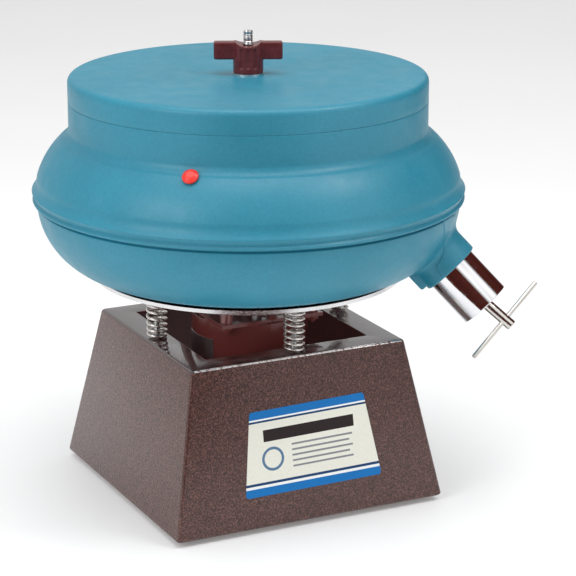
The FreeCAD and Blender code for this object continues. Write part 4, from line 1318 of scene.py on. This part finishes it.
SCREW_START = 8.2
CAP_OUTSIDE = 34.7
HUB_END = 63.7
BAR_HEIGHT = 56.1
BAR_LENGTH = 82
BAR_RADIUS = 2
DRAW_SCREW_RADIUS = 3
HANDLE_RADIUS = 4.5
handle_outline = filleted_outline([
    (0, SCREW_START, 0),
    (DRAW_SCREW_RADIUS, SCREW_START, 0.5),
    (DRAW_SCREW_RADIUS, CAP_OUTSIDE, 0),
    (HANDLE_RADIUS, CAP_OUTSIDE, 0.5),
    (HANDLE_RADIUS, HUB_END, 1.1),
    (0, HUB_END, 0),
], loop=False)
handle_hub = turned_mesh("hub", handle_outline, 64, False, plug, 50)
bar_place = plug @ Matrix.Translation((0, 0, BAR_HEIGHT)) @ Matrix.Rotation(math.radians(143), 4, "Z")
bar_place = bar_place @ Matrix.Rotation(math.pi / 2, 4, "Y")
bar_bore = cylinder_mesh("bar_bore", BAR_RADIUS + 0.02, -8, 8, bar_place, 48)
handle_hub = combined("handle_hub", handle_hub, "DIFFERENCE", bar_bore)
shade(handle_hub, 35)
finished(link("turned_handle_hub", handle_hub, NICKEL), "t_handle", "nickel_steel", "draw_screw")

half_bar = BAR_LENGTH / 2
bar_outline = filleted_outline([
    (0, -half_bar, 0),
    (BAR_RADIUS, -half_bar, 0.8),
    (BAR_RADIUS, half_bar, 0.8),
    (0, half_bar, 0),
], loop=False)
bar = turned_mesh("bar", bar_outline, 48, False, bar_place, 50)
finished(link("cross_bar", bar, NICKEL), "t_handle", "nickel_steel", "t_handle_bar")


# %% [markdown]
# ## The little shoulder plug
#
# This plug is a soft dome with a shank, pushed into the hole in the shoulder. It is turned from an outline
# with a generous roll where the dome meets the flat under it.

# %% Shoulder plug
PLUG_GAP = 0.9
SHANK_RADIUS = 4.3
SHANK_END = -7
shank_outline = filleted_outline([
    (0, SHANK_END, 0),
    (SHANK_RADIUS, SHANK_END, 1.2),
    (SHANK_RADIUS, PLUG_GAP, 0.4),
    (6.5, PLUG_GAP, 0.5),
    (6.3, PLUG_GAP + 1.6, 1.2),
    (3.6, PLUG_GAP + 3.5, 3.5),
    (0, PLUG_GAP + 3.6, 0),
], loop=False)
shoulder_plug = turned_mesh("shoulder_plug", shank_outline, 64, False, flow_place, 60)
finished(link("red_shoulder_plug", shoulder_plug, VINYL), "flow_plug", "red_vinyl", "flow_plug")


# %% [markdown]
# ## The printed label
#
# The label is a thin film on the front wall. Its print is bands: blue, white and dark blue above, cream in
# the middle, and the same below, mirrored. The bands run along the wall's own slope, so the finish works
# from two distances made out of object coordinates, across the wall and up it. The marks on the cream
# field are plain bars and a ring, which say "printed" without saying anything.

# %% Finish: printed label
def printed_label():
    finish = Finish("printed_label", roughness=0.45, specular=0.25)
    parts = node(finish.tree, "ShaderNodeSeparateXYZ", vector=finish.place)
    across = parts.outputs["X"]
    above_foot = finish.sum("SUBTRACT", parts.outputs["Z"], base_foot * MM)
    up = finish.sum("DIVIDE", above_foot, math.cos(wall_lean))
    low_edge = finish.sum("ADD", finish.sum("MULTIPLY", across, 0.00993), 0.02657)
    high_edge = finish.sum("ADD", finish.sum("MULTIPLY", across, 0.01984), 0.09456)
    tall = finish.sum("SUBTRACT", high_edge, low_edge)
    height = finish.sum("DIVIDE", finish.sum("SUBTRACT", up, low_edge), tall)
    blue, navy = (0.004, 0.17, 0.50), (0.006, 0.05, 0.16)
    cream, white = (0.84, 0.83, 0.74), (0.92, 0.93, 0.92)
    black = (0.022, 0.012, 0.014)
    bands = finish.ramp(
        height,
        (0.0, blue), (0.095, white), (0.127, navy), (0.16, cream),
        (0.86, navy), (0.885, white), (0.903, blue), (0.999, blue),
        sharp=True,
    )

    def bar(left, right, low, high):
        """1 inside a rectangle: across in millimetres, up as a share of the label's height."""
        inside = None
        for value, limit, operation in (
            (across, left * MM, "GREATER_THAN"), (across, right * MM, "LESS_THAN"),
            (height, low, "GREATER_THAN"), (height, high, "LESS_THAN"),
        ):
            test = finish.sum(operation, value, limit)
            inside = test if inside is None else finish.sum("MULTIPLY", inside, test)
        return inside

    colour = finish.mix(bar(-38, 42, 0.63, 0.77), bands, black)
    for row in range(5):
        line = 0.54 - 0.065 * row
        colour = finish.mix(bar(-14, 40 - 3 * (row % 2), line, line + 0.022), colour, (0.24, 0.25, 0.27))
    from_middle = finish.sum("ADD", across, 0.031)
    rise = finish.sum("MULTIPLY", finish.sum("SUBTRACT", height, 0.42), 0.068)
    squares = [finish.sum("POWER", finish.sum("ABSOLUTE", side), 2.0) for side in (from_middle, rise)]
    distance = finish.sum("SQRT", finish.sum("ADD", *squares))
    ring = finish.sum("LESS_THAN", finish.sum("ABSOLUTE", finish.sum("SUBTRACT", distance, 0.0085)), 0.0011)
    colour = finish.mix(ring, colour, (0.10, 0.20, 0.33))
    ink = finish.ramp(finish.noise(900, detail=3), (0.3, 0.95), (0.7, 1.03))
    colour = finish.mix(1.0, colour, ink, "MULTIPLY")
    return finish.done(colour, None, finish.bump(finish.noise(500, detail=2), 0.00003, 0.4))


PRINT = printed_label()


# %% [markdown]
# ## Finishes on the hidden works
#
# The pan, the motor and its weights, the feet, the washers and the rest keep the mesh that came with the
# frame: turned and flat parts with small sharp edges, right as they are. Each only gets its finish. The
# motor and its fasteners wear the paint of the base's inside walls, painted brighter as painted fill light
# for the dim inside, and what the table leaves out is zinc.

# %% Dress the pieces that stay
STAYING = {
    PAN_STEEL: ("support_pan", "draw_plate"),
    RUBBER: ("rubber_feet", "expansion_ring"),
    NYLON: ("cord_gland",),
    PRINT: ("front_label",),
    BRASS: ("knob_insert",),
    CHROME: ("plug_cap",),
    # The motor wears the inside copy, painted brighter as painted fill light.
    INSIDE_PAINT_WITH_PAINTED_LIGHT: (
        "motor_can", "motor_top_plate", "motor_bottom_bell", "motor_screws", "motor_screw_nuts",
        "motor_standoffs", "motor_through_bolts", "motor_through_bolt_nuts",
    ),
    FOIL: ("motor_label",),
    BEARING: ("motor_shaft", "upper_bearing", "lower_bearing"),
    LAMINATED: ("stator", "rotor_core"),
    COPPER: ("stator_windings",),
    CAST: ("upper_weight", "lower_weight"),
}
finish_of = {name: finish for finish, names in STAYING.items() for name in names}
for name, thing in frame["nodes"].items():
    if name not in rebuilt:
        finish = finish_of.get(name, ZINC)
        thing.data.materials.clear()
        thing.data.materials.append(finish)
        print(name, "wears", finish.name)


# %% [markdown]
# ## Floor
#
# The floor is one pale sheet that runs out past the picture on every side.

# %% Floor
floor_mesh = bpy.data.meshes.new("floor")
reach = 6
floor_corners = [(-reach, -reach, 0), (reach, -reach, 0), (reach, reach, 0), (-reach, reach, 0)]
floor_mesh.from_pydata(floor_corners, [], [(0, 1, 2, 3)])
floor_finish = Finish("pale_floor", roughness=0.6, emission_color=(1, 1, 1), emission_strength=0.17)
floor_finish.done(floor_finish.ramp(floor_finish.noise(3), (0.3, 0.83), (0.7, 0.85)))
floor = link("floor", floor_mesh, floor_finish.material)
